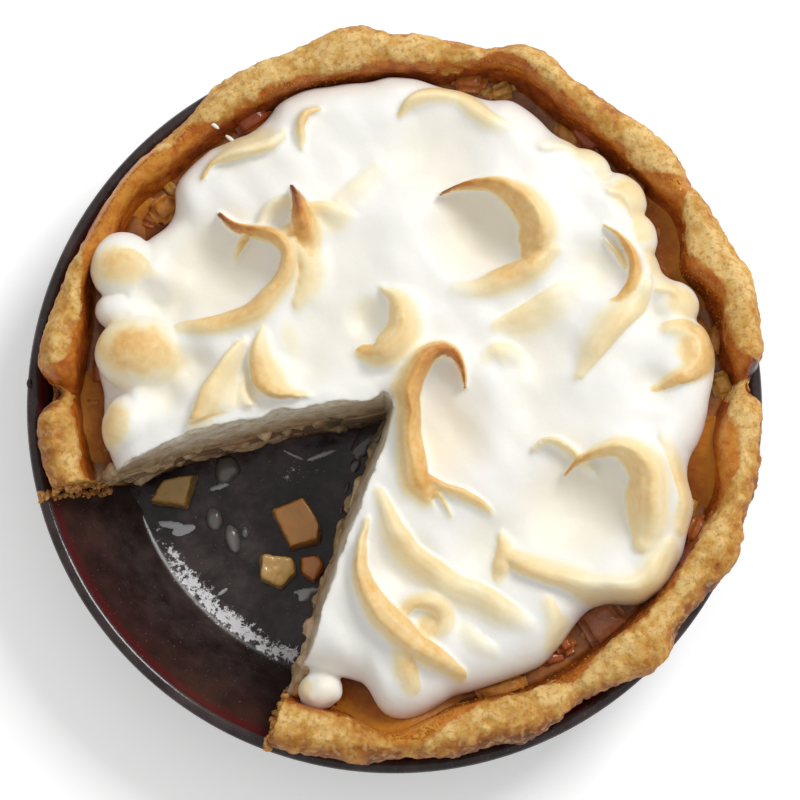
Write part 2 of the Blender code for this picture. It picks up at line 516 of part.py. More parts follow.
def hold_inside_crust(points):
    """Draw points in to a small clearance from the crust's inner wall."""
    angles = np.arange(0, 360, 0.5)
    walls = [reach(angle, rim_inner(angle) - 1.0, CRUST_CENTRE) - MERINGUE_CLEARANCE for angle in angles]
    x, y = points[:, 0] - TIP[0], points[:, 1] - TIP[1]
    out = np.hypot(x, y)
    limit = np.interp(np.degrees(np.arctan2(y, x)), angles, walls, period=360)
    share = np.minimum(1, limit / np.maximum(out, 1))
    points[:, 0] = TIP[0] + x * share
    points[:, 1] = TIP[1] + y * share


def meringue_body(rings, around):
    """The spread meringue: rings of points from the middle to the outline, with a flat underside."""
    centre = np.array([18.0, 14.0])
    outline = meringue_outline(around)
    floor = FILLING_TOP + GAP
    bm = bmesh.new()
    share = np.linspace(0, 1, rings + 1)[1:] ** 0.8
    x = centre[0] + share[:, None] * (outline[:, 0] - centre[0])[None, :]
    y = centre[1] + share[:, None] * (outline[:, 1] - centre[1])[None, :]
    top = meringue_top(x, y)
    away = edge_reach(np.degrees(np.arctan2(y, x))) - np.hypot(x, y)
    shoulder = np.sqrt(np.clip(1 - np.clip(1 - away / MERINGUE_ROUND, 0, 1) ** 2, 0, 1))
    z = floor + 3 + (top - floor - 3) * shoulder
    middle_top = meringue_top(centre[:1], centre[1:])
    rows = [[bm.verts.new(co) for co in zip(x[k], y[k], z[k])] for k in range(rings)]
    rows.append([bm.verts.new((px, py, floor)) for px, py in outline])
    peak = bm.verts.new((centre[0], centre[1], middle_top[0]))
    under = bm.verts.new((centre[0], centre[1], floor))
    for k in range(around):
        j = (k + 1) % around
        bm.faces.new((peak, rows[0][k], rows[0][j]))
        bm.faces.new((under, rows[-1][j], rows[-1][k]))
        for inner, outer in zip(rows, rows[1:]):
            bm.faces.new((inner[k], outer[k], outer[j], inner[j]))
    return bm


def make_meringue(finish):
    """Body and balls become one skin, which is then thinned to few triangles."""
    bm = meringue_body(rings=90, around=560)
    for x, y, z, *radii in BALLS:
        shape = Matrix.Translation((x, y, z)) @ Matrix.Diagonal((*radii, 1))
        bmesh.ops.create_icosphere(bm, subdivisions=4, radius=1.0, matrix=shape)
    obj = add_object("meringue", bm, finish, 60)
    floor = FILLING_TOP + GAP

    def settle(lean=False):
        """Flatten the underside onto the filling and keep the sides off the cuts and the crust."""
        count = len(obj.data.vertices)
        points = np.empty(count * 3)
        obj.data.vertices.foreach_get("co", points)
        points = points.reshape(count, 3) / MM
        push_out_of_slice(points)
        hold_inside_crust(points)
        if lean:
            lean_back(points)
        points[:, 2] = np.where(points[:, 2] < floor + 0.6, floor, points[:, 2])
        obj.data.vertices.foreach_set("co", (points * MM).ravel())
        obj.data.update()

    settle()
    remesh = obj.modifiers.new("skin", "REMESH")
    remesh.mode = "VOXEL"
    remesh.voxel_size = REMESH_SIZE * MM
    smooth = obj.modifiers.new("soften", "SMOOTH")
    smooth.factor = 0.5
    smooth.iterations = 2
    apply_modifiers(obj)
    triangles = sum(len(face.vertices) - 2 for face in obj.data.polygons)
    thin = obj.modifiers.new("thin", "DECIMATE")
    thin.ratio = MERINGUE_TRIANGLES / triangles
    apply_modifiers(obj)
    settle(lean=True)
    obj.data.shade_smooth()
    return obj


def main():
    for obj in list(bpy.data.objects):
        bpy.data.objects.remove(obj)
    glaze = material("dark_glaze", (0.02, 0.014, 0.014), 0.12)
    baked = material("baked_crust", (0.56, 0.33, 0.13), 0.6)
    stewed = material("stewed_apple", (0.42, 0.22, 0.08), 0.3, 0.3)
    whipped = material("toasted_meringue", (0.92, 0.87, 0.78), 0.55, 0.3)
    flesh = material("apple_flesh", (0.55, 0.40, 0.17), 0.3, 0.3)
    make_dish(glaze)
    make_crust(baked)
    make_filling(stewed)
    make_meringue(whipped)
    for name in CHUNKS:
        make_chunk(name, flesh)


main()
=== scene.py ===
"""Looks of the apple meringue pie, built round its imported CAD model.

Sizes are in millimetres unless a name says otherwise and are turned into metres where vertices are
made. Angles run anticlockwise from +X. The tables of the meringue, the crust and the apple pieces are
those of the part's own source.
"""
import math
import random

import bmesh
import bpy
import numpy as np
from mathutils import Matrix, Vector
from mathutils.bvhtree import BVHTree


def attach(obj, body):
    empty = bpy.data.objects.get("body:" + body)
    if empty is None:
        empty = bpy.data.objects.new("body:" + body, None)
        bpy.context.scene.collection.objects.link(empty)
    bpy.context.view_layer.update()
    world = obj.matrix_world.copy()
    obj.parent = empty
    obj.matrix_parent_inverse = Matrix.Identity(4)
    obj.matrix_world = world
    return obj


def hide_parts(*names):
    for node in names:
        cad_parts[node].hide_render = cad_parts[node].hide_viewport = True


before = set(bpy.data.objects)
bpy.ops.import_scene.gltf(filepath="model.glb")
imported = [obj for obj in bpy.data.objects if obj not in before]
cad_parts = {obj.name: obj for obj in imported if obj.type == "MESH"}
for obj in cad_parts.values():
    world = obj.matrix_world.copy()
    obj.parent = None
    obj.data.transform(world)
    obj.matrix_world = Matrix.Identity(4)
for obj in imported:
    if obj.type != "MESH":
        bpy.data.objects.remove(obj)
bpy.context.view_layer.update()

MM = 0.001
GAP = 0.3                              # clearance between touching solids

# ---------------------------------------------------------------- sizes shared with the CAD part

DISH_RADIUS = 127.0
DISH_HEIGHT = 42.0
DISH_FLOOR = 5.0
FOOT_RADIUS = 97.0
FLOOR_RADIUS = 94.0
LIP_RADIUS = 121.8
LIP_Z = 39.5

TIP = (-2.0, -2.0)
CUT_RIGHT = 250.6
CUT_LEFT = 194.1
CUTS = ((CUT_LEFT, -1), (CUT_RIGHT, 1))  # angle, and the side of it on which the pie lies

CRUST_CENTRE = (2.8, 3.4)
CRUST_THICKNESS = 3.9
RIM_OUTER = 124.0
RIM_INNER = 112.0
RIM_TOP = 56.0
RIM_CRESTS = ((17, 2.8, 7), (42, 1.4, 7), (68, 4.4, 6), (96, 5.0, 7), (114, 1.4, 6), (130, -2.2, 8),
              (148, -2.0, 11), (170, 2.0, 5), (186, 2.2, 7), (252, 5.4, 8), (266, 3.6, 7), (280, 2.4, 6),
              (293, 3.0, 5), (316, 5.0, 5.5), (336, 4.4, 6), (347, 1.4, 4))
RIM_INNER_WAVES = ((70, 6.6, 8), (34, 2.4, 4), (25, -4.4, 4.5), (16, 1.5, 5), (5, 2.6, 4), (354, -3.0, 5),
                   (342, 2.8, 7), (311, -1.0, 8), (287, -2.6, 8), (270, 5.0, 6), (254, 0.8, 5), (156, 4.0, 6),
                   (142, 3.2, 6))
RIM_NOTCHES = ((177.6, 9.0, 2.4), (3.6, 9.0, 2.4), (37, 2.6, 3), (74, 2.2, 3), (125, 2.4, 4), (303, 2.6, 3))

FILLING_TOP = 38.0
MERINGUE_SPAN = 97.5
MERINGUE_CENTRE = (2.5, 3.0)
MERINGUE_DEPTH = 19.5
MERINGUE_DOME = 4.5
MERINGUE_ROUND = 13.0
LEAN = 3.2                             # how far the cut face's top lies behind its foot
LEAN_WIDTH = 9.0                       # distance from a cut over which the lean dies away
CUT_BOWS = ((2.2, 92), (-1.6, 88))     # how far each cut face bows, and the distance at which that ends

# Edge of the meringue: angle and distance from the dish's middle
EDGE = ((0, 108), (4, 110), (8, 112), (12, 111), (15, 107.5), (18, 110), (22, 109), (25, 102.7), (28.7, 104),
        (31.6, 103.6), (33.2, 106), (37.6, 107), (39.2, 110.4), (41.8, 112.2), (45, 110.6), (47.6, 107),
        (49.6, 108.4), (54.5, 109.6), (59, 108.5), (62, 110.5), (69, 114), (73, 110.5),
        (82, 112), (87, 114), (91, 114.5), (95, 112.5), (106, 114), (111, 112.5), (114, 108.5), (118, 106.5),
        (127, 109.5), (135, 107.5), (139, 100.5), (143, 100), (147, 103), (156, 104), (162, 103), (173, 103),
        (178, 100), (188, 100), (196, 98), (252, 96), (262, 96), (265, 97.5), (267, 106), (270, 109),
        (273, 109), (277, 106.5), (281, 102.5), (293, 102.5), (299, 103.5), (304, 101), (309, 98), (313, 97),
        (317, 101), (320, 109), (325, 112), (331, 112), (336, 110), (341, 109), (345, 104), (349, 103),
        (353, 106), (357, 107.5))
# Balls of meringue piled at the edge: x, y, z of the middle, radius along X, along Y and upwards
SOUTH_BALL = (-25.6, -98.6, 44, 7.8, 7.4, 6.8)
BALLS = ((-93.5, 46.5, 48, 11.5, 12, 11.5), (-94, 31, 47, 9, 7, 9), (-87, 16, 51, 15.5, 13, 14.5),
         (-90, -9.5, 47.5, 10, 12.5, 13.5), SOUTH_BALL, (101, 17, 47, 8, 11, 10.5), (95, 33, 46, 10, 9, 10),
         (75.5, 69, 46, 11.5, 10.5, 10.5), (81.5, 56, 46, 9.5, 10, 10.5), (64, 79, 46, 11, 9, 10))
# Bowls pressed into the top: x, y, half width, depth
BOWLS = (
    (-61, 45, 16, 10), (29, 57, 15, 10), (14, -13, 15, 8), (62, -37, 17, 10), (47, 18, 14, 5),
    (-20, 22, 15, 4), (14, 86, 15, 5), (70, 45, 9, 6), (33, -50, 12, 5), (-50, 6, 8, 4), (4, -58, 9, 5),
    (-33, 8, 10, 3), (47, -6, 12, 3), (22, -72, 8, 3), (-18, 47, 14, 3), (-5, 78, 14, 3), (-77, 31, 8, 8),
    (-78, 1, 6, 7), (-69, 10, 7, 6), (-97, 3, 6, 8), (88, 30, 6, 5), (88, 4, 6, 4), (-84, 34, 5, 7),
    (-9, 27, 6, 4),
)

# Ridges: side of the hollow (1 is left of the way the points run) and then points of the crest, each
# with x, y, rise, half width towards the hollow, half width away from it and how toasted it is
STROKES = {
    "hook_northwest": (-1, ((-60, 63, 6, 0.7, 0.7, 1), (-55, 59, 9, 1.3, 1.3, 0.9), (-49, 57, 11, 2, 2, 0.7),
        (-42, 55, 12, 2.3, 2.7, 0.6), (-37, 51, 12, 2.7, 3.3, 0.5), (-36, 46, 11, 3, 3.3, 0.5),
        (-38, 40, 9, 3.3, 4, 0.5), (-43, 34, 8, 3.7, 4.3, 0.5), (-48, 29, 7, 4, 4.7, 0.5),
        (-56, 26, 5, 3.7, 4, 0.5), (-65, 24, 4, 3, 3, 0.45), (-73, 24, 2, 2.3, 2.3, 0.25))),
    "northwest_spur": (1, ((-50, 56, 9, 1.3, 1.7, 0.55), (-53, 52, 5, 1.3, 1.7, 0.5),
        (-55, 48, 2, 1, 1.7, 0.2))),
    "northwest_leaf": (-1, ((-34, 53, 8, 2.3, 4, 0.3), (-30, 45, 6, 3, 6, 0.32), (-30, 38, 4, 3.3, 5.3, 0.3),
        (-33, 32, 2, 2, 3, 0.25))),
    "fin": (-1, ((-35, 71, 13, 0.7, 1, 1.1), (-33, 66, 14, 1.7, 3, 0.95), (-32, 61, 13, 3, 5, 0.75),
        (-30, 55, 10, 4, 5.7, 0.6), (-28, 50, 3, 2.7, 3.3, 0.4))),
    "fin_right": (1, ((-31, 63, 11, 2, 4.7, 0.5), (-26, 65, 7, 2, 5, 0.4), (-19, 64, 3, 2, 4.7, 0.2))),
    "fin_left": (1, ((-31, 58, 11, 2.3, 3, 0.6), (-35, 56, 8, 2, 3, 0.5), (-39, 55, 6, 2, 2.7, 0.35))),
    "fin_link": (1, ((-46, 59, 4, 1.3, 2.7, 0.12), (-43, 65, 5, 1.7, 3, 0.18), (-37, 68, 5, 1.7, 3, 0.18))),
    "north_patch": (-1, ((-6, 79, 1, 2.3, 3.7, 0.12), (-12, 74, 2, 2.7, 5, 0.18),
        (-18, 68, 1, 3, 4.7, 0.15))),
    "small_curl": (1, ((-26, 100, 3, 1, 1, 0.35), (-30, 98, 5, 1.3, 1.7, 0.45), (-32, 94, 5, 1.3, 2, 0.45),
        (-32, 90, 4, 1.3, 1.7, 0.4), (-32, 86, 2, 1, 1, 0.2))),
    "northwest_edge": (-1, ((-66, 76, 2, 1, 1, 0.45), (-62, 81, 5, 1.3, 2, 0.4), (-53, 84, 7, 1.7, 5, 0.3),
        (-44, 86, 6, 2, 4.7, 0.3), (-39, 90, 3, 2, 3, 0.2))),
    "west_leaf": (-1, ((-45, 23, 2, 1, 2, 0.2), (-47, 17, 5, 1.5, 5, 0.38), (-47.5, 12, 7, 1.8, 7, 0.45),
        (-46, 5, 8, 2, 9, 0.5), (-42, 0, 8, 2, 8, 0.5), (-37, -3, 7, 1.8, 6, 0.48),
        (-32, -4.5, 4, 1.5, 4, 0.4))),
    "west_leaf_low": (-1, ((-53, 18, 3, 1.3, 3, 0.28), (-58, 11, 6, 1.7, 6.4, 0.33),
        (-64, 2, 7, 2, 8.7, 0.38), (-67, -9, 6, 2, 8.7, 0.42))),
    "west_leaf_thin": (1, ((-51, 8, 2, 1.3, 2.3, 0.12), (-51, 1, 3, 1.3, 3, 0.15),
        (-48, -6, 3, 1.7, 3, 0.2))),
    "tip_petal": (-1, ((-4, 36.5, 3, 1.2, 1.5, 0.3), (0.5, 33, 7, 3, 4, 0.36), (3, 27, 9, 5, 5.5, 0.4),
        (2.5, 21, 9, 6, 6.5, 0.4), (-1.5, 16.5, 9, 6, 6.5, 0.42), (-6, 14, 7, 4.5, 5, 0.48),
        (-10.5, 15, 3, 3, 3, 0.56))),
    "north_edge": (1, ((2, 98, 2, 1, 1.3, 0.35), (5, 102, 5, 2, 2.7, 0.36), (10, 105, 6, 2.7, 3.7, 0.38),
        (17, 106, 7, 3.3, 3.7, 0.38), (23, 105, 6, 4, 4, 0.36), (28, 100, 5, 4, 4, 0.33),
        (33, 96, 3, 3.3, 3.7, 0.28), (39, 94, 1, 2, 2.7, 0.1))),
    "hook_north": (-1, ((16, 70, 8, 0.6, 0.6, 1), (21, 72, 10, 1, 1, 0.85), (27, 73, 12, 1.7, 1.7, 0.7),
        (34, 73, 13, 2.7, 2.7, 0.6), (40, 70, 14, 4, 4.3, 0.5), (45, 66, 14, 5.7, 5.3, 0.5),
        (49, 60, 13, 7, 5.7, 0.45), (49, 53, 10, 7, 5.7, 0.5), (48, 49, 6, 5.3, 5, 0.5))),
    "north_low": (-1, ((54, 50, 5, 2.3, 3, 0.3), (49, 46, 7, 3.3, 4.3, 0.42), (44, 43, 7, 4.7, 5, 0.45),
        (37, 40, 6, 5, 5, 0.45), (30, 37, 4, 4.3, 4, 0.32), (21, 37, 1, 2.3, 2.7, 0.1))),
    "north_lower": (1, ((35, 25, 1, 2, 3.3, 0.25), (42, 27, 3, 3.3, 7.4, 0.32), (50, 32, 4, 3.3, 8.7, 0.28),
        (58, 38, 2, 2.7, 6.7, 0.12))),
    "knob": (1, ((31, 14, 1, 2, 3, 0.15), (35, 16, 3, 3, 4.3, 0.25), (40, 15, 3, 3, 4.3, 0.18),
        (43, 12, 1, 2, 3, 0.1))),
    "thin_hook_east": (-1, ((72, 59, 3, 0.7, 0.7, 0.4), (76, 56, 6, 1, 1.3, 0.5), (80, 51, 8, 1.7, 2, 0.6),
        (82, 45, 8, 2, 2.3, 0.6), (81, 39, 6, 2.3, 2.3, 0.6), (77, 34, 4, 1.3, 2, 0.55),
        (74, 33, 2, 0.7, 1, 0.4))),
    "thin_curl_east": (-1, ((72, 54, 2, 0.7, 1, 0.2), (76, 50, 4, 1, 1.3, 0.4), (79, 45, 3, 1, 1.3, 0.35))),
    "east_leaf": (1, ((87, 40, 4, 1.3, 3.3, 0.2), (84, 32, 5, 2.3, 6, 0.32), (77, 25, 6, 2.7, 7.4, 0.35),
        (70, 17, 5, 2.7, 6.7, 0.33), (63, 7, 2, 1.3, 2.3, 0.25))),
    "east_edge": (-1, ((51, 87, 2, 2, 2.7, 0.1), (59, 88, 3, 2.3, 4, 0.2), (67, 85, 3, 2.7, 4.7, 0.22),
        (72, 78, 3, 2.7, 4, 0.2))),
    "east_edge_low": (-1, ((74, 72, 2, 2, 3.3, 0.2), (80, 71, 3, 3, 4, 0.27), (84, 64, 3, 3.3, 4, 0.3),
        (86, 58, 2, 2.7, 3.3, 0.22))),
    "east_lobe": (-1, ((90, 38, 1, 2, 3, 0.28), (95, 38, 2, 2.3, 4, 0.33), (100, 34, 2, 2.7, 3.7, 0.25))),
    "east_spiral": (1, ((93, 24, 2, 2, 2.7, 0.3), (100, 24, 3, 3.3, 3.7, 0.42), (105, 20, 4, 4.3, 3.7, 0.5),
        (105, 13, 4, 4.7, 4, 0.5), (100, 8, 4, 3.3, 4, 0.5), (94, 5, 3, 1.7, 3.7, 0.5),
        (89, 3, 1, 1, 2, 0.45))),
    "hook_middle": (1, ((24, 3, 5, 0.6, 0.6, 0.9), (23, 9, 9, 1, 1.3, 0.8), (20, 14, 12, 2, 2.3, 0.75),
        (15, 15, 14, 3, 3.3, 0.75), (10, 12, 15, 3.7, 4.3, 0.7), (6, 4, 15, 4, 5.3, 0.65),
        (4, -3, 15, 4.7, 6, 0.6), (4, -12, 14, 5, 6.4, 0.55), (6, -20, 12, 4.7, 6.7, 0.55),
        (8, -28, 9, 4, 6.7, 0.6), (11, -33, 5, 3, 4.7, 0.55))),
    "middle_branch": (1, ((11, -28, 7, 1.7, 2, 0.6), (17, -31, 6, 1.7, 2.3, 0.5), (23, -33, 5, 1.7, 2.7, 0.5),
        (30, -37, 3, 1.3, 2, 0.45), (33, -40, 1, 1, 1, 0.2))),
    "middle_spike": (1, ((11, -30, 5, 1, 1.3, 0.55), (16, -35, 3, 1, 1.3, 0.45),
        (19, -41, 1, 0.7, 0.7, 0.3))),
    "south_long": (1, ((-7, -32, 2, 1.7, 2.7, 0.25), (-3, -39, 4, 3, 4, 0.32), (1, -47, 6, 4, 5, 0.36),
        (6, -54, 6, 4.3, 5.3, 0.35), (13, -60, 6, 5, 5.3, 0.33), (20, -65, 5, 5, 5.7, 0.28),
        (29, -68, 4, 4.7, 6, 0.28), (37, -73, 3, 4, 5.3, 0.28), (45, -77, 1, 2.7, 3.3, 0.1))),
    "south_edge": (1, ((-11, -42, 3, 1.3, 1.7, 0.35), (-13, -51, 6, 3, 2.3, 0.42),
        (-13, -59, 8, 4.3, 2.7, 0.46), (-10, -67, 9, 5.3, 3, 0.48), (-6, -74, 9, 6.7, 3.3, 0.46),
        (0, -80, 9, 7, 3.7, 0.46), (6, -85, 8, 6, 3.7, 0.48), (14, -89, 6, 4.3, 3.7, 0.48),
        (22, -94, 3, 2.7, 2.7, 0.45))),
    "south_drop": (1, ((3, -88, 4, 3.3, 4, 0.4), (4, -93, 3, 4.3, 4.3, 0.42), (6, -98, 1, 3.3, 3.7, 0.3))),
    "south_knot": (-1, ((3, -74, 3, 1.7, 2.3, 0.32), (7, -70, 5, 2.3, 3.3, 0.38),
        (13, -70, 5, 2.7, 3.7, 0.38), (17, -73, 4, 3, 3.3, 0.38), (17, -78, 3, 2.7, 2.7, 0.3),
        (13, -81, 1, 1.7, 2, 0.18))),
    "south_fold": (1, ((24, -79, 1, 2.7, 3, 0.12), (28, -83, 2, 2.7, 3.7, 0.16), (33, -86, 1, 2.3, 3, 0.08))),
    "east_crest": (1, ((47, -18, 3, 0.7, 1, 0.2), (52, -15, 6, 1.3, 1.3, 0.3), (58, -17, 6, 1.3, 2, 0.35),
        (63, -21, 5, 1.3, 2, 0.3), (68, -25, 3, 1, 1.7, 0.1))),
    "hook_east": (-1, ((58, -26, 6, 0.6, 0.6, 0.75), (62, -22, 9, 1, 1.3, 0.62), (69, -19, 11, 2, 2.7, 0.5),
        (76, -18, 13, 3.3, 4, 0.42), (82, -21, 13, 5.3, 5.7, 0.42), (86, -27, 12, 7, 7, 0.42),
        (86, -35, 11, 7.4, 7, 0.42), (86, -42, 8, 6.7, 6.7, 0.4), (85, -49, 4, 4.7, 5.3, 0.3))),
    "east_stripe": (-1, ((91, -14, 2, 2, 2.7, 0.15), (96, -23, 4, 3, 3.3, 0.35), (99, -33, 4, 3, 3.3, 0.38),
        (98, -44, 3, 2.7, 3, 0.33))),
    "southeast_star": (-1, ((36, -47, 2, 1.3, 1.7, 0.3), (37, -52, 4, 2.7, 3.3, 0.4),
        (36, -57, 4, 3, 4, 0.38), (35, -61, 1, 2, 2.7, 0.3))),
    "southeast_long": (-1, ((37, -53, 4, 2, 3, 0.42), (43, -57, 6, 3, 4.7, 0.4), (51, -60, 6, 3.7, 5.3, 0.34),
        (59, -62, 7, 4, 5.3, 0.32), (67, -65, 7, 5.3, 5.3, 0.28), (76, -66, 7, 6.7, 5.7, 0.3),
        (84, -64, 7, 7.4, 6, 0.36), (89, -58, 6, 6, 5.7, 0.34), (92, -51, 4, 4.7, 4.3, 0.26))),
    "south_lip": (1, ((52, -70, 1, 2.3, 3, 0.22), (54, -76, 2, 3, 3.7, 0.28), (54, -84, 2, 2.7, 3.7, 0.28))),
    "west_ball_line": (1, ((-102, 44, 0.6, 1, 4.7, 0.3), (-98, 48, 1, 1, 7.4, 0.36), (-90, 50, 1, 1, 8, 0.36),
        (-84, 46, 0.6, 1, 5.3, 0.28))),
}

# Apple on the dish floor: corners, height and slope of the top along X and Y
CHUNKS = {
    "floor_chunk_1": (((-87, -32), (-73, -34), (-69.5, -21.5), (-82, -24)), 13, 0.1, 0.35),
    "floor_chunk_2": (((-44, -34), (-32, -29.5), (-25.5, -40), (-26, -46), (-37, -49)), 13, 0.2, 0.1),
    "floor_chunk_3": (((-47.5, -49.5), (-36, -51), (-34, -57), (-40, -62.5), (-47.5, -59)), 11, -0.2, 0.1),
    "floor_chunk_4": (((-33.5, -50.5), (-26.5, -50), (-24.5, -54.5), (-28, -60), (-33, -57)), 9, 0.1, -0.1),
}
TAPER = 0.12                           # how much smaller a piece's top is than its foot
CHUNK_TINTS = {"floor_chunk_1": 0.05, "floor_chunk_2": 0.4, "floor_chunk_3": 0.68, "floor_chunk_4": 0.95}

# ---------------------------------------------------------------- looks only

# Toasted patches away from the ridges: x, y, radius along and across, turn, strength
TOAST_PATCHES = (
    (-93.5, 45.5, 12, 8, -4, 0.42), (-87, 15.5, 18, 13.5, -14, 0.5), (-95, -10.5, 6, 11, -6, 0.4),
    (-50, 89, 13, 6, 15, 0.3), (66, 86, 10, 5, -40, 0.3), (80, 71, 9, 7, -50, 0.34), (86, 59, 5, 7, 20, 0.3),
    (90, 47, 4, 9, 20, 0.26), (99, 33, 8, 7, -30, 0.33), (103, 15, 8, 12, 10, 0.42), (40, 40, 9, 6, 25, 0.2),
    (-31, -98, 3, 4, 0, 0.3), (92, -58, 9, 7, 50, 0.32), (98, -40, 4, 10, -10, 0.3),
    (-35, 20, 4, 8, 20, 0.15), (12, -78, 6, 6, 0, 0.35), (-52, 0, 7, 10, -15, 0.2), (-20, 62, 9, 7, 20, 0.2),
    (57, -80, 4, 9, 0, 0.25), (78, 30, 8, 4, 40, 0.2), (-62, -11.5, 9, 2.6, 14, 0.4),
    (-10, 30, 5, 6, 10, 0.12),
)
# Pieces of apple that show best in the ring: x, y, length, width, turn, tint
RING_PIECES = (
    (27, 113, 13, 8, -10, 0.62), (38, 110, 10, 7, 20, 0.95), (67, 93, 13, 9, -50, 0.5),
    (84, 78, 10, 7, -40, 0.6), (111, 22, 12, 8, 70, 0.85), (114, 6, 8, 9, 20, 0.95),
    (108, -20, 16, 9, 70, 0.9), (104, -44, 12, 7, 60, 0.6), (72, -75, 17, 15, 40, 0.45),
    (58, -83, 8, 7, 30, 0.58), (37, -98, 18, 9, 20, 0.85), (-80, 68, 12, 8, 40, 0.8),
    (-50, 100, 12, 9, 35, 0.5), (-22, -88, 9, 7, 0, 0.2),
)
# Syrup that ran over the rim: angle, distance outwards from the rim's inner edge, half width
SPILLS = ((37, 9, 3.2), (74, 5, 5), (60, 3, 4), (112, 3, 5), (129.5, 8, 3.2), (138.5, 9, 3.5), (149, 6, 5),
          (171, 2, 4), (177.6, 15, 1.9), (3.6, 11, 1.9), (351, 7, 5), (272, 5, 6), (301, 4, 3), (325, 1.5, 5),
          (92, 1.5, 6), (20, 1.5, 5), (150, 5, 13))
# Syrup in the ring that stands higher, and glaze that is brighter: angle, amount, half width
POOLS = ((271, 8, 11), (351, 6, 8), (141, 2.5, 8), (180, 3.4, 13), (30, 3.4, 16), (95, 2.4, 9))
BRIGHT_GLAZE = ((143, 1, 15), (272, 1, 13), (351, 1, 9), (34, 0.8, 7))
BURNT_GLAZE = ((3.6, 1, 2.4),)
# Bubbles in the glaze: angle, half width
BUBBLES = ((37, 3.2), (74, 5), (60, 4), (112, 5), (129.5, 3), (138.5, 4), (149, 5), (262, 5), (276, 8),
           (301, 4), (271, 10), (105, 8), (20, 8))
# Syrup on the dish floor: x, y, radius along and across, turn, height, tint
# Rows with tint 1 are thin crescents whose pale grey is a painted reflection of the white surroundings.
FLOOR_BLOBS = (
    (-60, -19.5, 4.2, 5.2, -20, 2.6, 0.5), (-64, -37, 2.8, 4.2, 10, 2.0, 0.55),
    (-57.5, -44, 2.6, 5.6, 12, 2.2, 0.6), (-53, -42, 1.4, 2.4, 0, 1.4, 0.6), (-10, -9, 7, 4, 50, 1.0, 0.2),
    (-14, -18, 2, 3, -20, 0.5, 0.2), (-17, -26, 0.8, 2.6, -20, 0.7, 0.5), (-19, -34, 0.7, 2, -10, 0.6, 0.5),
    (-62, -25.5, 3.6, 0.9, 15, 0.5, 1.0), (-36, -14.2, 4.5, 0.7, -25, 0.5, 1.0),
    (-26, -14.2, 6, 0.9, 20, 0.5, 1.0), (-11, -13, 4.5, 0.6, 5, 0.5, 1.0), (-80, -39, 6, 1.5, -6, 0.5, 1.0),
    (-75, -41, 4.5, 1.8, 18, 0.5, 1.0), (-84, -29, 3.5, 0.7, -12, 0.4, 1.0),
    (-31, -62.5, 5.2, 1.2, 8, 0.5, 1.0), (-32, -64.5, 2.4, 1.6, 30, 0.5, 1.0),
    (-61, -63, 2.4, 0.8, 35, 0.4, 1.0),
)
# Two white flecks that are painted glints on the syrup, and a burnt drip on the rim: x, y, z, half length,
# half width, turn, slot
GLINTS_AND_DRIP = {
    "glint_flecks": (-62.6, 95.7, 51.6, 2.6, 0.7, -37, "apple_filling"),
    "glint_flecks_low": (-57, 91.8, 46.2, 2.1, 0.7, -37, "apple_filling"),
    "burnt_drip": (-125.9, 6.7, 41.4, 1.9, 1.1, 93, "dish_glaze"),
}

CAMERA_DISTANCE = 1100.0
CAMERA_TILT = 7.0                      # degrees off straight down, towards -Y
CAMERA_LENS = 143.6                    # mm on a 36 mm sensor
CAMERA_AIM = (1.9, 1.0, DISH_HEIGHT)

FLOOR_HALF = 1500.0
SKY_STRENGTH = 0.58
KEY_AZIMUTH = 46.0
KEY_HEIGHT = 47.0                      # degrees above the floor
KEY_DISTANCE = 1.7                     # m
KEY_SIZE = 0.55                        # m
KEY_POWER = 15.5                       # W


def direction(degrees):
    return math.cos(math.radians(degrees)), math.sin(math.radians(degrees))


def from_tip(degrees, out, aside=0.0):
    """X and Y at a distance from the slice's tip going this way, and then a step to the left."""
    ex, ey = direction(degrees)
    return TIP[0] + out * ex - aside * ey, TIP[1] + out * ey + aside * ex


def along_and_across(x, y, middle, degrees):
    """How far points lie from a middle, along a direction and to the left of it."""
    ex, ey = direction(degrees)
    dx, dy = x - middle[0], y - middle[1]
    return dx * ex + dy * ey, dy * ex - dx * ey


def reach(degrees, radius, centre=(0, 0)):
    """Distance from the slice's tip, going this way, to a circle round a centre."""
    along, across = along_and_across(*TIP, centre, degrees)
    return -along + math.sqrt(radius ** 2 - across ** 2)


def waves(degrees, table):
    """Sum of rounded bumps: each row is (angle, size, half width). Degrees may be an array."""
    total = 0.0
    for angle, size, width in table:
        offset = (degrees - angle + 180) % 360 - 180
        total = total + size * np.exp(-(offset / width) ** 2)
    return total


def step(low, high, values):
    """Smooth step from 0 at low to 1 at high."""
    t = np.clip((values - low) / (high - low), 0, 1)
    return t * t * (3 - 2 * t)


def noise(points, size, seed=0):
    """Smooth value noise between -1 and 1 with lumps of one size, at each point (N x 3, mm)."""
    cell = points / size + seed * 17.31
    base = np.floor(cell).astype(np.int64)
    t = cell - base
    t = t * t * (3 - 2 * t)
    total = np.zeros(len(points))
    for corner in range(8):
        offset = np.array([(corner >> k) & 1 for k in range(3)])
        x, y, z = (base + offset).T
        mixed = (x * 73856093) ^ (y * 19349663) ^ (z * 83492791)
        mixed = (mixed ^ (mixed >> 13)) * 1274126177 & 0xFFFFFFFF
        value = (mixed ^ (mixed >> 16)) / 0xFFFFFFFF * 2 - 1
        weight = np.prod(np.where(offset, t, 1 - t), axis=1)
        total += value * weight
    return total


def layered_noise(points, size, layers=3, seed=0):
    total, strength = np.zeros(len(points)), 1.0
    for layer in range(layers):
        total += strength * noise(points, size / 2 ** layer, seed + layer)
        strength *= 0.5
    return total / 1.6


# ---------------------------------------------------------------- meshes

def grid_faces(index):
    """Faces between the neighbours in a grid of point numbers."""
    corners = (index[:-1, :-1], index[1:, :-1], index[1:, 1:], index[:-1, 1:])
    return np.stack(corners, axis=-1).reshape(-1, 4)


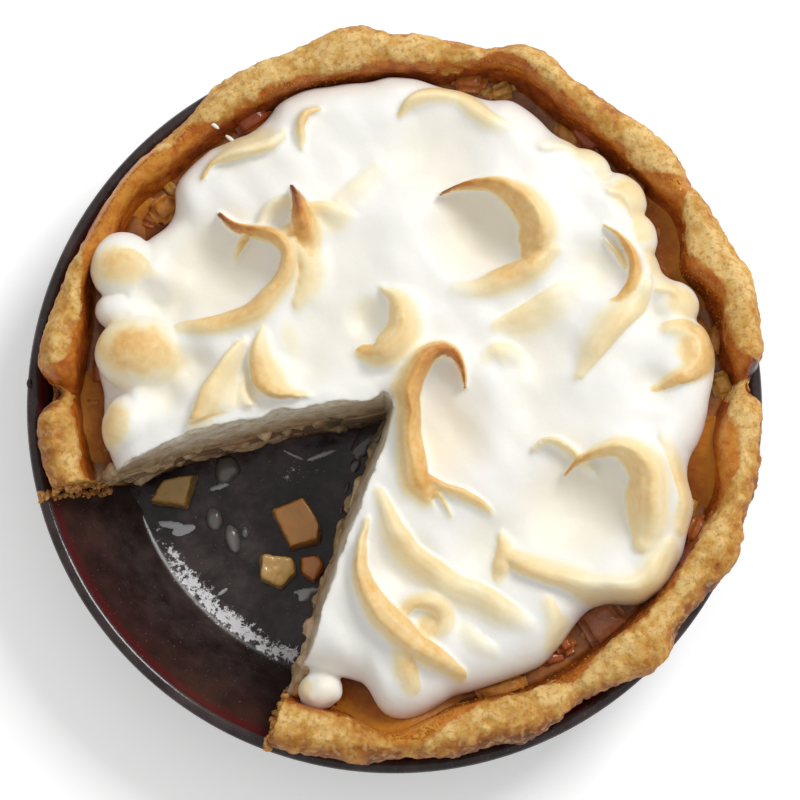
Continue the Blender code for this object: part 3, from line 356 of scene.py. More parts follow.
def mesh_object(name, points, faces, finish):
    """An object from points in millimetres and a list of faces."""
    mesh = bpy.data.meshes.new(name)
    mesh.from_pydata((np.asarray(points) * MM).tolist(), [], faces)
    mesh.validate()
    return link_mesh(name, mesh, finish)


def link_mesh(name, mesh, finish):
    mesh.shade_smooth()
    obj = bpy.data.objects.new(name, mesh)
    bpy.context.collection.objects.link(obj)
    obj.data.materials.append(finish)
    return obj


def bmesh_object(name, bm, finish):
    """An object from a bmesh in millimetres."""
    bmesh.ops.scale(bm, vec=(MM, MM, MM), verts=bm.verts)
    bmesh.ops.recalc_face_normals(bm, faces=bm.faces)
    mesh = bpy.data.meshes.new(name)
    bm.to_mesh(mesh)
    bm.free()
    return link_mesh(name, mesh, finish)


def merge_and_face_out(obj):
    bm = bmesh.new()
    bm.from_mesh(obj.data)
    bmesh.ops.remove_doubles(bm, verts=bm.verts, dist=1e-6)
    bmesh.ops.recalc_face_normals(bm, faces=bm.faces)
    bm.to_mesh(obj.data)
    bm.free()


def points_of(obj):
    array = np.empty(len(obj.data.vertices) * 3)
    obj.data.vertices.foreach_get("co", array)
    return array.reshape(-1, 3) / MM


def surface_of(obj):
    """A search tree over an object's faces, in millimetres."""
    return BVHTree.FromPolygons(points_of(obj).tolist(), [tuple(face.vertices) for face in obj.data.polygons])


def normals_of(obj):
    array = np.empty(len(obj.data.vertices) * 3)
    obj.data.vertex_normals.foreach_get("vector", array)
    return array.reshape(-1, 3)


def set_points(obj, points):
    obj.data.vertices.foreach_set("co", (points * MM).ravel())
    obj.data.update()


def set_attributes(obj, **attributes):
    for name, values in attributes.items():
        layer = obj.data.attributes.new(name, "FLOAT", "POINT")
        layer.data.foreach_set("value", np.asarray(values, dtype=np.float32))


def apply_modifiers(obj):
    depsgraph = bpy.context.evaluated_depsgraph_get()
    result = bpy.data.meshes.new_from_object(obj.evaluated_get(depsgraph))
    obj.modifiers.clear()
    obj.data = result
    obj.data.shade_smooth()


def thicken(obj, thickness):
    thick = obj.modifiers.new("thick", "SOLIDIFY")
    thick.thickness = thickness * MM
    apply_modifiers(obj)


def voxel_skin(obj, size, smoothing):
    """Join overlapping shapes into one skin and soften it."""
    remesh = obj.modifiers.new("skin", "REMESH")
    remesh.mode = "VOXEL"
    remesh.voxel_size = size * MM
    soften = obj.modifiers.new("soften", "SMOOTH")
    soften.factor = 0.5
    soften.iterations = smoothing
    apply_modifiers(obj)


def ride(obj, *nodes, slot):
    """Every piece rides on the pie's only body and may stand for CAD nodes."""
    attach(obj, "root")
    if nodes:
        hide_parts(*nodes)
    return obj


# ---------------------------------------------------------------- materials

class Shader:
    """Short calls for building one node material."""

    def __init__(self, name, **settings):
        self.material = bpy.data.materials.new(name)
        self.material.use_nodes = True
        self.tree = self.material.node_tree
        self.principled = self.tree.nodes["Principled BSDF"]
        for socket, value in settings.items():
            self.principled.inputs[socket.replace("_", " ")].default_value = value

    def feed(self, socket, value):
        """Give a socket a number, a vector, a colour or another node's output."""
        if isinstance(value, bpy.types.NodeSocket):
            self.tree.links.new(value, socket)
        elif isinstance(value, tuple) and len(value) < len(socket.default_value):
            socket.default_value = (*value, 1)
        else:
            socket.default_value = value

    def node(self, kind, **inputs):
        node = self.tree.nodes.new("ShaderNode" + kind)
        for name, value in inputs.items():
            self.feed(node.inputs[name], value)
        return node

    def attribute(self, name):
        node = self.node("Attribute")
        node.attribute_name = name
        return node.outputs["Fac"]

    def noise(self, size, detail=3.0, roughness=0.55, stretch=None):
        """Noise with lumps of one size in millimetres."""
        place = self.node("NewGeometry").outputs["Position"]
        if stretch:
            place = self.node("Mapping", Scale=stretch, Vector=place).outputs["Vector"]
        scale = 1 / (size * MM)
        texture = self.node("TexNoise", Scale=scale, Detail=detail, Roughness=roughness, Vector=place)
        return texture.outputs["Fac"]

    def ramp(self, value, *stops):
        """Colours or grey levels at positions: (position, (r, g, b)) or (position, level)."""
        node = self.node("ValToRGB", Fac=value)
        elements = node.color_ramp.elements
        while len(elements) < len(stops):
            elements.new(0.5)
        for element, (position, color) in zip(elements, stops):
            element.position = position
            element.color = (*color, 1) if isinstance(color, tuple) else (color, color, color, 1)
        return node.outputs["Color"]

    def mix(self, factor, first, second):
        node = self.node("Mix")
        node.data_type = "RGBA"
        for socket, value in ((0, factor), (6, first), (7, second)):
            self.feed(node.inputs[socket], value)
        return node.outputs[2]

    def math(self, operation, first, second):
        node = self.node("Math")
        node.operation = operation
        self.feed(node.inputs[0], first)
        self.feed(node.inputs[1], second)
        return node.outputs["Value"]

    def plus(self, first, second):
        return self.math("ADD", first, second)

    def times(self, first, second):
        return self.math("MULTIPLY", first, second)

    def swing(self, amount, *noise):
        """Noise round zero, an amount from its lowest to its highest."""
        return self.times(self.math("SUBTRACT", self.noise(*noise), 0.5), amount)

    def bump(self, height, distance, strength=1.0):
        """Relief of a height texture, in millimetres."""
        node = self.node("Bump", Distance=distance * MM, Strength=strength, Height=height)
        normal = self.principled.inputs["Normal"]
        if normal.is_linked:
            self.feed(node.inputs["Normal"], normal.links[0].from_socket)
        self.feed(normal, node.outputs["Normal"])

    def set(self, socket, source):
        self.feed(self.principled.inputs[socket], source)


def meringue_material():
    shader = Shader("toasted_meringue", Roughness=0.45, Subsurface_Weight=0.3, Subsurface_Scale=0.0025,
                    Subsurface_Radius=(1.0, 0.9, 0.7), Specular_IOR_Level=0.35)
    toast = shader.attribute("toast")
    mottled = shader.plus(toast, shader.times(toast, shader.swing(0.5, 3.0, 4)))
    toasted = shader.ramp(mottled, (0.0, (0.92, 0.91, 0.865)), (0.12, (0.93, 0.885, 0.74)),
                          (0.28, (0.92, 0.79, 0.505)), (0.42, (0.88, 0.66, 0.33)),
                          (0.57, (0.78, 0.46, 0.145)), (0.76, (0.56, 0.22, 0.042)),
                          (1.0, (0.16, 0.042, 0.01)))
    # Painted shade: deep hollows are tinted a warm, darker cream in place of the warm shade inside them.
    hollow = shader.mix(shader.attribute("hollow"), toasted, (0.93, 0.88, 0.74))
    cut = shader.ramp(shader.noise(3.2, 5, 0.7, stretch=(0.8, 0.8, 1.2)), (0.36, (0.62, 0.50, 0.33)),
                      (0.5, (0.83, 0.74, 0.57)), (0.64, (0.95, 0.90, 0.79)))
    soaked = shader.ramp(shader.noise(4.0, 4, 0.6), (0.38, (0.30, 0.18, 0.08)), (0.62, (0.56, 0.40, 0.22)))
    cut = shader.mix(shader.attribute("soaked"), cut, soaked)
    shader.set("Base Color", shader.mix(shader.attribute("cut"), hollow, cut))
    shader.bump(shader.noise(1.1, 3), 0.10, 0.5)
    return shader.material


def crust_material():
    shader = Shader("baked_crust", Subsurface_Weight=0.05, Subsurface_Scale=0.0015, Specular_IOR_Level=0.3)
    # Baked colour follows the browning attribute, which also carries painted shade at the foot of the cut
    # face and in the dips between the lumps.
    baked = shader.ramp(shader.plus(shader.attribute("brown"), shader.swing(1.2, 6.0, 6, 0.68)),
                        (0.0, (0.78, 0.53, 0.20)), (0.22, (0.62, 0.345, 0.075)), (0.47, (0.50, 0.22, 0.034)),
                        (0.72, (0.33, 0.105, 0.014)), (1.0, (0.14, 0.038, 0.007)))
    freckles = shader.ramp(shader.noise(1.6, 3, 0.65), (0.52, 0.0), (0.62, 1.0))
    baked = shader.mix(shader.times(freckles, 0.5), baked, (0.36, 0.11, 0.014))
    pale = shader.ramp(shader.noise(2.6, 3), (0.52, 0.0), (0.66, 1.0))
    baked = shader.mix(shader.times(pale, 0.4), baked, (0.80, 0.55, 0.23))
    # The glaze frays at its edge and stains the crust beside it
    frayed = shader.plus(shader.attribute("glaze"), shader.swing(1.3, 2.6, 5, 0.7))
    coat = shader.ramp(frayed, (0.42, 0.0), (0.56, 1.0))
    stain = shader.ramp(frayed, (0.1, 0.0), (0.5, 0.75))
    glazed = shader.ramp(shader.plus(shader.attribute("depth"), shader.swing(1.5, 4.5, 6, 0.7)),
                         (0.0, (0.60, 0.26, 0.035)), (0.2, (0.52, 0.17, 0.017)),
                         (0.42, (0.40, 0.10, 0.010)), (0.62, (0.27, 0.055, 0.007)),
                         (0.85, (0.16, 0.034, 0.005)), (1.0, (0.07, 0.016, 0.004)))
    surface = shader.mix(stain, baked, (0.43, 0.15, 0.02))
    shader.set("Base Color", shader.mix(coat, surface, glazed))
    shader.set("Roughness", shader.math("SUBTRACT", 0.6, shader.times(coat, 0.48)))
    shader.bump(shader.noise(1.3, 4, 0.65), 0.4, 0.8)
    shader.bump(shader.noise(3.2, 3), 1.0, 0.45)
    return shader.material


def filling_material():
    shader = Shader("apple_filling", Roughness=0.16, Subsurface_Weight=0.25, Subsurface_Scale=0.003,
                    Subsurface_Radius=(1.0, 0.45, 0.15), Specular_IOR_Level=0.45)
    tint = shader.attribute("tint")
    syrup = shader.ramp(shader.noise(6.0, 5, 0.6), (0.3, (0.16, 0.045, 0.009)), (0.5, (0.27, 0.09, 0.018)),
                        (0.7, (0.40, 0.14, 0.018)))
    fruit = shader.ramp(tint, (0.0, (0.30, 0.21, 0.12)), (0.3, (0.46, 0.31, 0.17)),
                        (0.5, (0.36, 0.075, 0.018)), (0.75, (0.55, 0.19, 0.022)), (1.0, (0.62, 0.34, 0.065)))
    blotches = shader.times(shader.ramp(shader.noise(2.8, 5, 0.65), (0.42, 0.0), (0.62, 0.5)),
                            shader.ramp(tint, (0.2, 0.0), (0.4, 1.0)))
    fruit = shader.mix(blotches, fruit, (0.20, 0.065, 0.014))
    shader.set("Base Color", shader.mix(shader.attribute("fruit"), syrup, fruit))
    shader.bump(shader.noise(1.8, 4), 0.35, 0.7)
    return shader.material


def gel_material():
    """Cooked apple and its jelly on the cut faces."""
    shader = Shader("filling_cut", Roughness=0.2, Subsurface_Weight=0.5, Subsurface_Scale=0.003,
                    Subsurface_Radius=(1.0, 0.6, 0.3))
    tint = shader.plus(shader.attribute("tint"), shader.swing(0.9, 2.6, 4, 0.6))
    shader.set("Base Color", shader.ramp(tint, (0.0, (0.14, 0.11, 0.065)), (0.3, (0.34, 0.23, 0.115)),
                                         (0.55, (0.52, 0.37, 0.21)), (0.8, (0.68, 0.46, 0.31)),
                                         (1.0, (0.42, 0.19, 0.05))))
    shader.bump(shader.noise(1.6, 4), 0.3, 0.7)
    return shader.material


def pool_material():
    shader = Shader("amber_syrup", Roughness=0.2, Subsurface_Weight=0.3, Subsurface_Scale=0.003,
                    Subsurface_Radius=(1.0, 0.4, 0.1), Specular_IOR_Level=0.15)
    # The low end of the ramp gives the dark syrup next to the meringue, a painted shade.
    level = shader.plus(shader.attribute("tint"), shader.swing(0.7, 4.0, 4, 0.6))
    shader.set("Base Color", shader.ramp(level, (0.0, (0.17, 0.045, 0.008)), (0.4, (0.34, 0.10, 0.010)),
                                         (0.75, (0.52, 0.19, 0.018)), (1.0, (0.46, 0.15, 0.013))))
    shader.bump(shader.noise(2.2, 4), 0.8, 0.7)
    return shader.material


def apple_material():
    shader = Shader("apple_flesh", Roughness=0.25, Subsurface_Weight=0.6, Subsurface_Scale=0.005,
                    Subsurface_Radius=(1.0, 0.6, 0.25), Coat_Weight=0.4, Coat_Roughness=0.08)
    flesh = shader.ramp(shader.attribute("tint"), (0.0, (0.40, 0.24, 0.045)), (0.4, (0.50, 0.22, 0.045)),
                        (0.7, (0.64, 0.42, 0.14)), (1.0, (0.50, 0.14, 0.016)))
    flesh = shader.mix(shader.times(shader.noise(4.0, 4), 0.3), flesh, (0.34, 0.15, 0.035))
    shader.set("Base Color", flesh)
    shader.bump(shader.noise(1.1, 4), 0.2, 0.5)
    return shader.material


def dish_material():
    shader = Shader("dish_glaze", Roughness=0.12, Specular_IOR_Level=0.35)
    mottle = shader.noise(9.0, 5, 0.6)
    dark = shader.ramp(mottle, (0.3, (0.016, 0.010, 0.010)), (0.7, (0.062, 0.043, 0.041)))
    maroon = shader.ramp(mottle, (0.3, (0.026, 0.015, 0.013)), (0.7, (0.060, 0.023, 0.020)))
    glaze = shader.mix(shader.attribute("band"), dark, maroon)
    glaze = shader.mix(shader.attribute("lip"), glaze, (0.085, 0.014, 0.015))
    specks = shader.ramp(shader.noise(0.9, 2, 0.5), (0.70, 0.0), (0.74, 1.0))
    glaze = shader.mix(shader.times(specks, 0.4), glaze, (0.30, 0.27, 0.25))
    films = shader.ramp(shader.noise(9.0, 6, 0.62), (0.45, 0.0), (0.66, 1.0))
    smear = shader.times(films, shader.attribute("smear"))
    glaze = shader.mix(shader.times(smear, 0.6), glaze, (0.12, 0.095, 0.095))
    # Whitish streak and flecks at the floor's edge: partly dried syrup residue, partly a painted highlight of
    # the key light on the fillet.
    residue_and_glint = shader.attribute("streak")
    flecks = shader.ramp(shader.plus(shader.noise(2.3, 6, 0.75), shader.times(residue_and_glint, 0.24)), (0.66, 0.0),
                         (0.71, 1.0))
    streak = shader.times(flecks, shader.ramp(residue_and_glint, (0.05, 0.0), (0.3, 1.0)))
    shader.set("Base Color", shader.mix(streak, glaze, (0.82, 0.82, 0.84)))
    rough = shader.plus(shader.times(smear, 0.25), shader.times(residue_and_glint, 0.4))
    shader.set("Roughness", shader.plus(rough, 0.12))
    shader.bump(shader.noise(4.0, 4, 0.6), 0.12, 0.6)
    return shader.material


def syrup_material():
    shader = Shader("clear_syrup", Roughness=0.06, Subsurface_Weight=0.4, Subsurface_Scale=0.002,
                    Specular_IOR_Level=0.8)
    # The palest tint is a painted reflection of the white surroundings on the thin syrup crescents.
    shader.set("Base Color", shader.ramp(shader.attribute("tint"), (0.0, (0.028, 0.022, 0.020)),
                                         (0.5, (0.13, 0.12, 0.105)), (1.0, (0.42, 0.41, 0.44))))
    shader.bump(shader.noise(2.4, 4), 0.2, 0.5)
    return shader.material


def crumb_material():
    shader = Shader("crust_crumbs", Roughness=0.75, Subsurface_Weight=0.05, Subsurface_Scale=0.001)
    shader.set("Base Color", shader.ramp(shader.noise(2.2, 3), (0.3, (0.30, 0.10, 0.018)),
                                         (0.5, (0.58, 0.25, 0.05)), (0.7, (0.78, 0.50, 0.20))))
    shader.bump(shader.noise(0.8, 3), 0.2, 0.6)
    return shader.material


# ---------------------------------------------------------------- dish

def turned(name, profile, steps, finish):
    """A closed profile, from the axis and back to it, turned round the Z axis."""
    bm = bmesh.new()
    verts = [bm.verts.new((radius, 0, z)) for radius, z in profile]
    edges = [bm.edges.new(pair) for pair in zip(verts, verts[1:])]
    bmesh.ops.spin(bm, geom=verts + edges, cent=(0, 0, 0), axis=(0, 0, 1), angle=2 * math.pi,
                   steps=steps, use_duplicate=False)
    bmesh.ops.remove_doubles(bm, verts=bm.verts, dist=0.001)
    return bmesh_object(name, bm, finish)


def resampled(path, count, weight=1.0, endpoint=True):
    """A fixed number of points along a path, evenly spread or denser where it weighs more."""
    length = np.concatenate([[0], np.cumsum(weight * np.linalg.norm(np.diff(path, axis=0), axis=1))])
    where = np.linspace(0, length[-1], count, endpoint=endpoint)
    return np.stack([np.interp(where, length, column) for column in path.T], axis=1)


def rounded_path(corners, spacing):
    """A path through corner points, rounded by cutting its corners, with points a spacing apart."""
    path = np.array(corners, dtype=float)
    for _ in range(2):
        inner = np.empty((2 * len(path) - 2, 2))
        inner[0::2] = 0.75 * path[:-1] + 0.25 * path[1:]
        inner[1::2] = 0.25 * path[:-1] + 0.75 * path[1:]
        path = np.vstack([path[:1], inner, path[-1:]])
    length = np.linalg.norm(np.diff(path, axis=0), axis=1).sum()
    return resampled(path, max(4, int(length / spacing)))


def make_dish(finish):
    rim = DISH_RADIUS
    outside = rounded_path(((0, 0), (FOOT_RADIUS, 0), (FOOT_RADIUS + 2, 0.9), (rim - 2.2, 37.2), (rim, 39.4),
                            (rim, 40.8), (rim - 1.0, 41.8), (rim - 2.4, DISH_HEIGHT)), 1.3)
    inside = rounded_path(((rim - 2.4, DISH_HEIGHT), (rim - 3.8, 41.7), (LIP_RADIUS + 0.5, 40.8),
                           (LIP_RADIUS, LIP_Z), (100.0, 8.5), (97.4, 6.1), (FLOOR_RADIUS, DISH_FLOOR),
                           (0, DISH_FLOOR)), 1.3)
    profile = np.vstack([outside, inside[1:]])
    dish = turned("dish_glazed", profile.tolist(), 320, finish)
    points = points_of(dish)
    radius = np.hypot(points[:, 0], points[:, 1])
    inner = (points[:, 2] > DISH_FLOOR - 0.5) & (radius < LIP_RADIUS + 1.2)
    depth = noise(points, 30, 3) * 2
    angle = np.degrees(np.arctan2(points[:, 1], points[:, 0])) % 360
    patches = step(-0.2, 0.5, layered_noise(points, 26, 3, 7))
    # Streak mask: the fillet on the south-west side and scattered patches nearer the middle, where dried
    # residue and a painted highlight of the key light are coloured in.
    fillet = np.exp(-((radius - 93.2) / 3.6) ** 2) * (step(198, 222, angle) * (1 - step(246, 251, angle)))
    scattered = 0.35 * step(0.1, 0.5, layered_noise(points, 18, 2, 13)) * step(60, 40, radius)
    set_attributes(dish, band=inner * step(12, 36, points[:, 2] + depth),
                   lip=inner * step(36.5, 38.5, points[:, 2] + 0.4 * depth),
                   smear=(inner & (radius < 96)) * (0.3 + 0.7 * patches),
                   streak=(inner & (radius < 103)) * np.maximum(fillet, scattered))
    return ride(dish, "pie_dish", slot="dish_glaze")


# ---------------------------------------------------------------- crust

def rim_inner(degrees):
    return RIM_INNER + waves(degrees, RIM_INNER_WAVES)


def rim_top(degrees):
    return RIM_TOP + 0.45 * waves(degrees, RIM_CRESTS) - waves(degrees, RIM_NOTCHES)


def spilled(degrees):
    """How far the syrup reaches over the rim, outwards from the rim's inner edge."""
    return 0.3 + 0.8 * waves(degrees, SPILLS)


def crust_paths(degrees):
    """Outer and inner path of the crust's cross-section, both from the axis to the rim's top."""
    outer = RIM_OUTER + waves(degrees, RIM_CRESTS) - 0.55 * waves(degrees, RIM_NOTCHES)
    inner, top = rim_inner(degrees), rim_top(degrees)
    slim = min(1.0, (outer - inner) / 12)
    rim_reach = reach(degrees, outer, CRUST_CENTRE)

    def wall(radius, z):
        return min(reach(degrees, radius), rim_reach - 1.2), z

    def rim(radius, z):
        return reach(degrees, radius, CRUST_CENTRE), z

    bottom = DISH_FLOOR + GAP + 0.05
    floor = bottom + CRUST_THICKNESS
    outside = [(0, bottom), wall(FLOOR_RADIUS - 0.3, bottom), wall(97.0, 6.6), wall(99.5, 9.1),
               wall(LIP_RADIUS - 0.6, LIP_Z), wall(LIP_RADIUS - 0.1, 41.3), wall(LIP_RADIUS + 1.2, 42.35),
               rim(outer - 1.2, 42.45), rim(outer, 45.6), rim(outer - 0.6, top - 5.4),
               rim(outer - 3.0 * slim, top - 1.6), rim(outer - 6.2 * slim, top)]
    inside = [(0, floor), wall(92.0, floor), wall(96.2, floor + 2.4), rim(inner - 1.0, 40.5),
              rim(inner, top - 4.2), rim(inner + 2.8 * slim, top - 0.8), rim(outer - 6.2 * slim, top)]
    return outside, inside


def crust_height(degrees, radius):
    """Height of the crust's surface at a distance from the crust's middle, on its inner half."""
    inner, top = rim_inner(degrees), rim_top(degrees)
    return float(np.interp(radius, (inner - 1.0, inner + 0.1, inner + 2.8, inner + 7),
                           (41.5, top - 4.0, top - 1.0, top)))


def spread(corners, count, dense_from):
    """Round a path and give it a fixed number of points, most of them beyond one distance."""
    path = rounded_path(corners, 0.5)
    return resampled(path, count, np.where(path[1:, 0] > dense_from, 1.0, 0.12))


def swept_sector(name, paths, steps, count, across, finish, dense_from):
    """Sweep two paths that share their last point round the tip and close both ends with a grid."""
    angles = np.linspace(CUT_RIGHT, CUT_LEFT + 360, steps + 1)
    points, faces = [], []

    def add_grid(grid):
        """Add a grid of points (rows x columns x 3) and its faces."""
        rows, columns = grid.shape[:2]
        first = sum(len(block) for block in points)
        points.append(grid.reshape(-1, 3))
        faces.extend(grid_faces(first + np.arange(rows * columns).reshape(rows, columns)).tolist())

    outer_rows, inner_rows = [], []
    for degrees in angles:
        for corners, rows in zip(paths(degrees), (outer_rows, inner_rows)):
            out, z = spread(corners, count, dense_from).T
            rows.append(np.stack([*from_tip(degrees, out), z], axis=1))
    outer_grid, inner_grid = np.array(outer_rows), np.array(inner_rows)
    add_grid(outer_grid)
    add_grid(inner_grid)
    share = np.linspace(0, 1, across + 1)[:, None, None]
    for end in (0, -1):
        add_grid(outer_grid[end][None] * (1 - share) + inner_grid[end][None] * share)
    obj = mesh_object(name, np.vstack(points), faces, finish)
    merge_and_face_out(obj)
    return obj


def cut_distance(x, y):
    """How far each point is from the two cut planes, positive on the pie's side."""
    return [side * along_and_across(x, y, TIP, angle)[1] for angle, side in CUTS]


def near_cut(points, width):
    """1 on the two cut faces, fading to 0 within a width."""
    gap = np.full(len(points), 99.0)
    for angle, _ in CUTS:
        ahead, across = along_and_across(points[:, 0], points[:, 1], TIP, angle)
        gap = np.where(ahead > -1, np.minimum(gap, np.abs(across)), gap)
    return 1 - step(0, width, gap)


def bend_cut(points, rise=0, lean=0):
    """Bow the cut faces a little and tilt them: rise is 0 at the foot and 1 where the lean is full."""
    distances = cut_distance(points[:, 0], points[:, 1])
    for (angle, side), distance, (bow, far) in zip(CUTS, distances, CUT_BOWS):
        ex, ey = direction(angle)
        ahead = along_and_across(points[:, 0], points[:, 1], TIP, angle)[0]
        wave = bow * step(8, 34, ahead) * step(far, far - 24, ahead)
        shift = (wave + lean * rise) * np.exp(-(distance / LEAN_WIDTH) ** 2) * step(-6, 3, ahead)
        points[:, 0] -= side * shift * ey
        points[:, 1] += side * shift * ex


def make_crust(finish):
    crust = swept_sector("crust_baked", crust_paths, 700, 68, 10, finish, dense_from=96)
    points, normals = points_of(crust), normals_of(crust)
    angle = np.degrees(np.arctan2(points[:, 1] - CRUST_CENTRE[1], points[:, 0] - CRUST_CENTRE[0])) % 360
    radius = np.hypot(points[:, 0] - CRUST_CENTRE[0], points[:, 1] - CRUST_CENTRE[1])
    inner = rim_inner(angle)
    edge = radius - inner + 2.2 * layered_noise(points, 7, 3, 11)
    spill = spilled(angle)
    upper = step(30, 36, points[:, 2])
    glaze = (1 - step(spill - 2.2, spill + 2.2, edge)) * upper
    cut = near_cut(points, 1.5)
    shown = step(39, 43, points[:, 2]) * (1 - glaze)
    around = np.radians(angle) * RIM_OUTER
    radial = np.stack([around, radius * 0.35, points[:, 2] * 0.35], axis=1)
    furrows = np.exp(-(layered_noise(radial, 5.0, 2, 17) / 0.16) ** 2)
    south = step(0.3, -0.8, np.sin(np.radians(angle)))
    pebbles = layered_noise(points, 4.6, 2, 1)
    lumps = 0.9 * pebbles + 0.7 * layered_noise(points, 2.4, 2, 5) + 0.7 * noise(points, 11, 7)
    lumps -= (0.35 + 0.35 * south) * furrows * (0.7 + pebbles)
    cracks = -0.7 * step(0.3, 0.55, layered_noise(points * (1, 1, 1.6), 3.2, 2, 9))
    crumbly = 1.4 * layered_noise(points, 3.0, 3, 31) * cut * step(9, 12, points[:, 2])
    wrinkles = 0.5 * layered_noise(points, 7, 2, 23) * glaze * upper
    relief = shown * (lumps + cracks) * (1 - cut) + wrinkles - np.abs(crumbly)
    points += normals * relief[:, None]
    bend_cut(points)
    set_points(crust, points)
    outward = ((points[:, 0] - CRUST_CENTRE[0]) * normals[:, 0]
               + (points[:, 1] - CRUST_CENTRE[1]) * normals[:, 1]) / np.maximum(radius, 1)
    low = step(55, 46, points[:, 2]) * step(inner + 4, inner + 8, radius)
    burnt = waves(angle, BURNT_GLAZE) * step(inner + 2, inner + 8, radius)
    depth = 0.30 - 0.2 * waves(angle, BRIGHT_GLAZE) + 0.42 * step(53, 41, points[:, 2]) + 0.9 * burnt
    block = step(179, 181, angle) * step(197, 195, angle) * step(inner + 3, inner + 7, radius)
    # Painted shade: the crust's cut face is made browner below 13 mm, at the dark foot of the cut.
    end = step(13, 10, points[:, 2]) * cut
    flank = (0.16 + 0.2 * south) * step(0.1, 0.9, outward)
    brown = 0.8 * end + 0.09 + flank + 0.36 * low + 0.3 * cut + 0.25 * block
    brown += 0.12 * south * step(inner + 5, inner + 11, radius)
    # Random browning, plus painted shade: browner in the dips between the lumps and paler on their tops.
    brown += 0.22 * noise(points, 15, 41) - 0.3 * lumps * (1 - cut)
    set_attributes(crust, glaze=glaze * (1 - cut), depth=depth, brown=np.clip(brown, 0, 1))
    return ride(crust, "crust", slot="baked_crust")


# ---------------------------------------------------------------- filling

def filling_paths(degrees):
    """Outer and inner path of the filling's cross-section: underside with side, and top."""
    _, inside = crust_paths(degrees)
    (low_reach, low_z), (high_reach, high_z) = inside[2], inside[3]
    shelf = DISH_FLOOR + GAP + 0.05 + CRUST_THICKNESS + GAP

    def side(z):
        share = (z - low_z) / (high_z - low_z)
        return low_reach + share * (high_reach - low_reach) - 0.35

    top = FILLING_TOP + 1.2
    outside = [(0, shelf), (reach(degrees, 91.4), shelf), (side(low_z), low_z + GAP), (side(top), top)]
    return outside, [(0, FILLING_TOP - 1.5), (reach(degrees, 90), FILLING_TOP - 1.5), (side(top), top)]


def apple_block(size, spin, tilt, place, seed):
    """A cut piece of apple in millimetres: an uneven box with rounded edges."""
    rng = random.Random(seed)
    bm = bmesh.new()
    bmesh.ops.create_cube(bm, size=1.0)
    for vert in bm.verts:
        vert.co += Vector([rng.uniform(-0.13, 0.13) for _ in range(3)])
        vert.co = Vector([c * s for c, s in zip(vert.co, size)])
    bmesh.ops.bevel(bm, geom=bm.edges, offset=0.3 * min(size), segments=3, affect="EDGES")
    bmesh.ops.triangulate(bm, faces=[face for face in bm.faces if len(face.verts) > 4])
    bmesh.ops.subdivide_edges(bm, edges=bm.edges, cuts=2, use_grid_fill=True)
    turn = Matrix.Rotation(math.radians(spin), 4, "Z") @ Matrix.Rotation(math.radians(tilt), 4, "X")
    bmesh.ops.transform(bm, matrix=Matrix.Translation(place) @ turn, verts=bm.verts)
    return bm


def joined(name, parts, finish):
    """Join (bmesh, tint) pairs into one object with a tint attribute."""
    points, faces, tints, first = [], [], [], 0
    for bm, tint in parts:
        bm.verts.index_update()
        points.extend(tuple(vert.co) for vert in bm.verts)
        faces.extend([first + vert.index for vert in face.verts] for face in bm.faces)
        tints.extend([tint] * len(bm.verts))
        first += len(bm.verts)
        bm.free()
    obj = mesh_object(name, points, faces, finish)
    set_attributes(obj, tint=tints)
    return obj


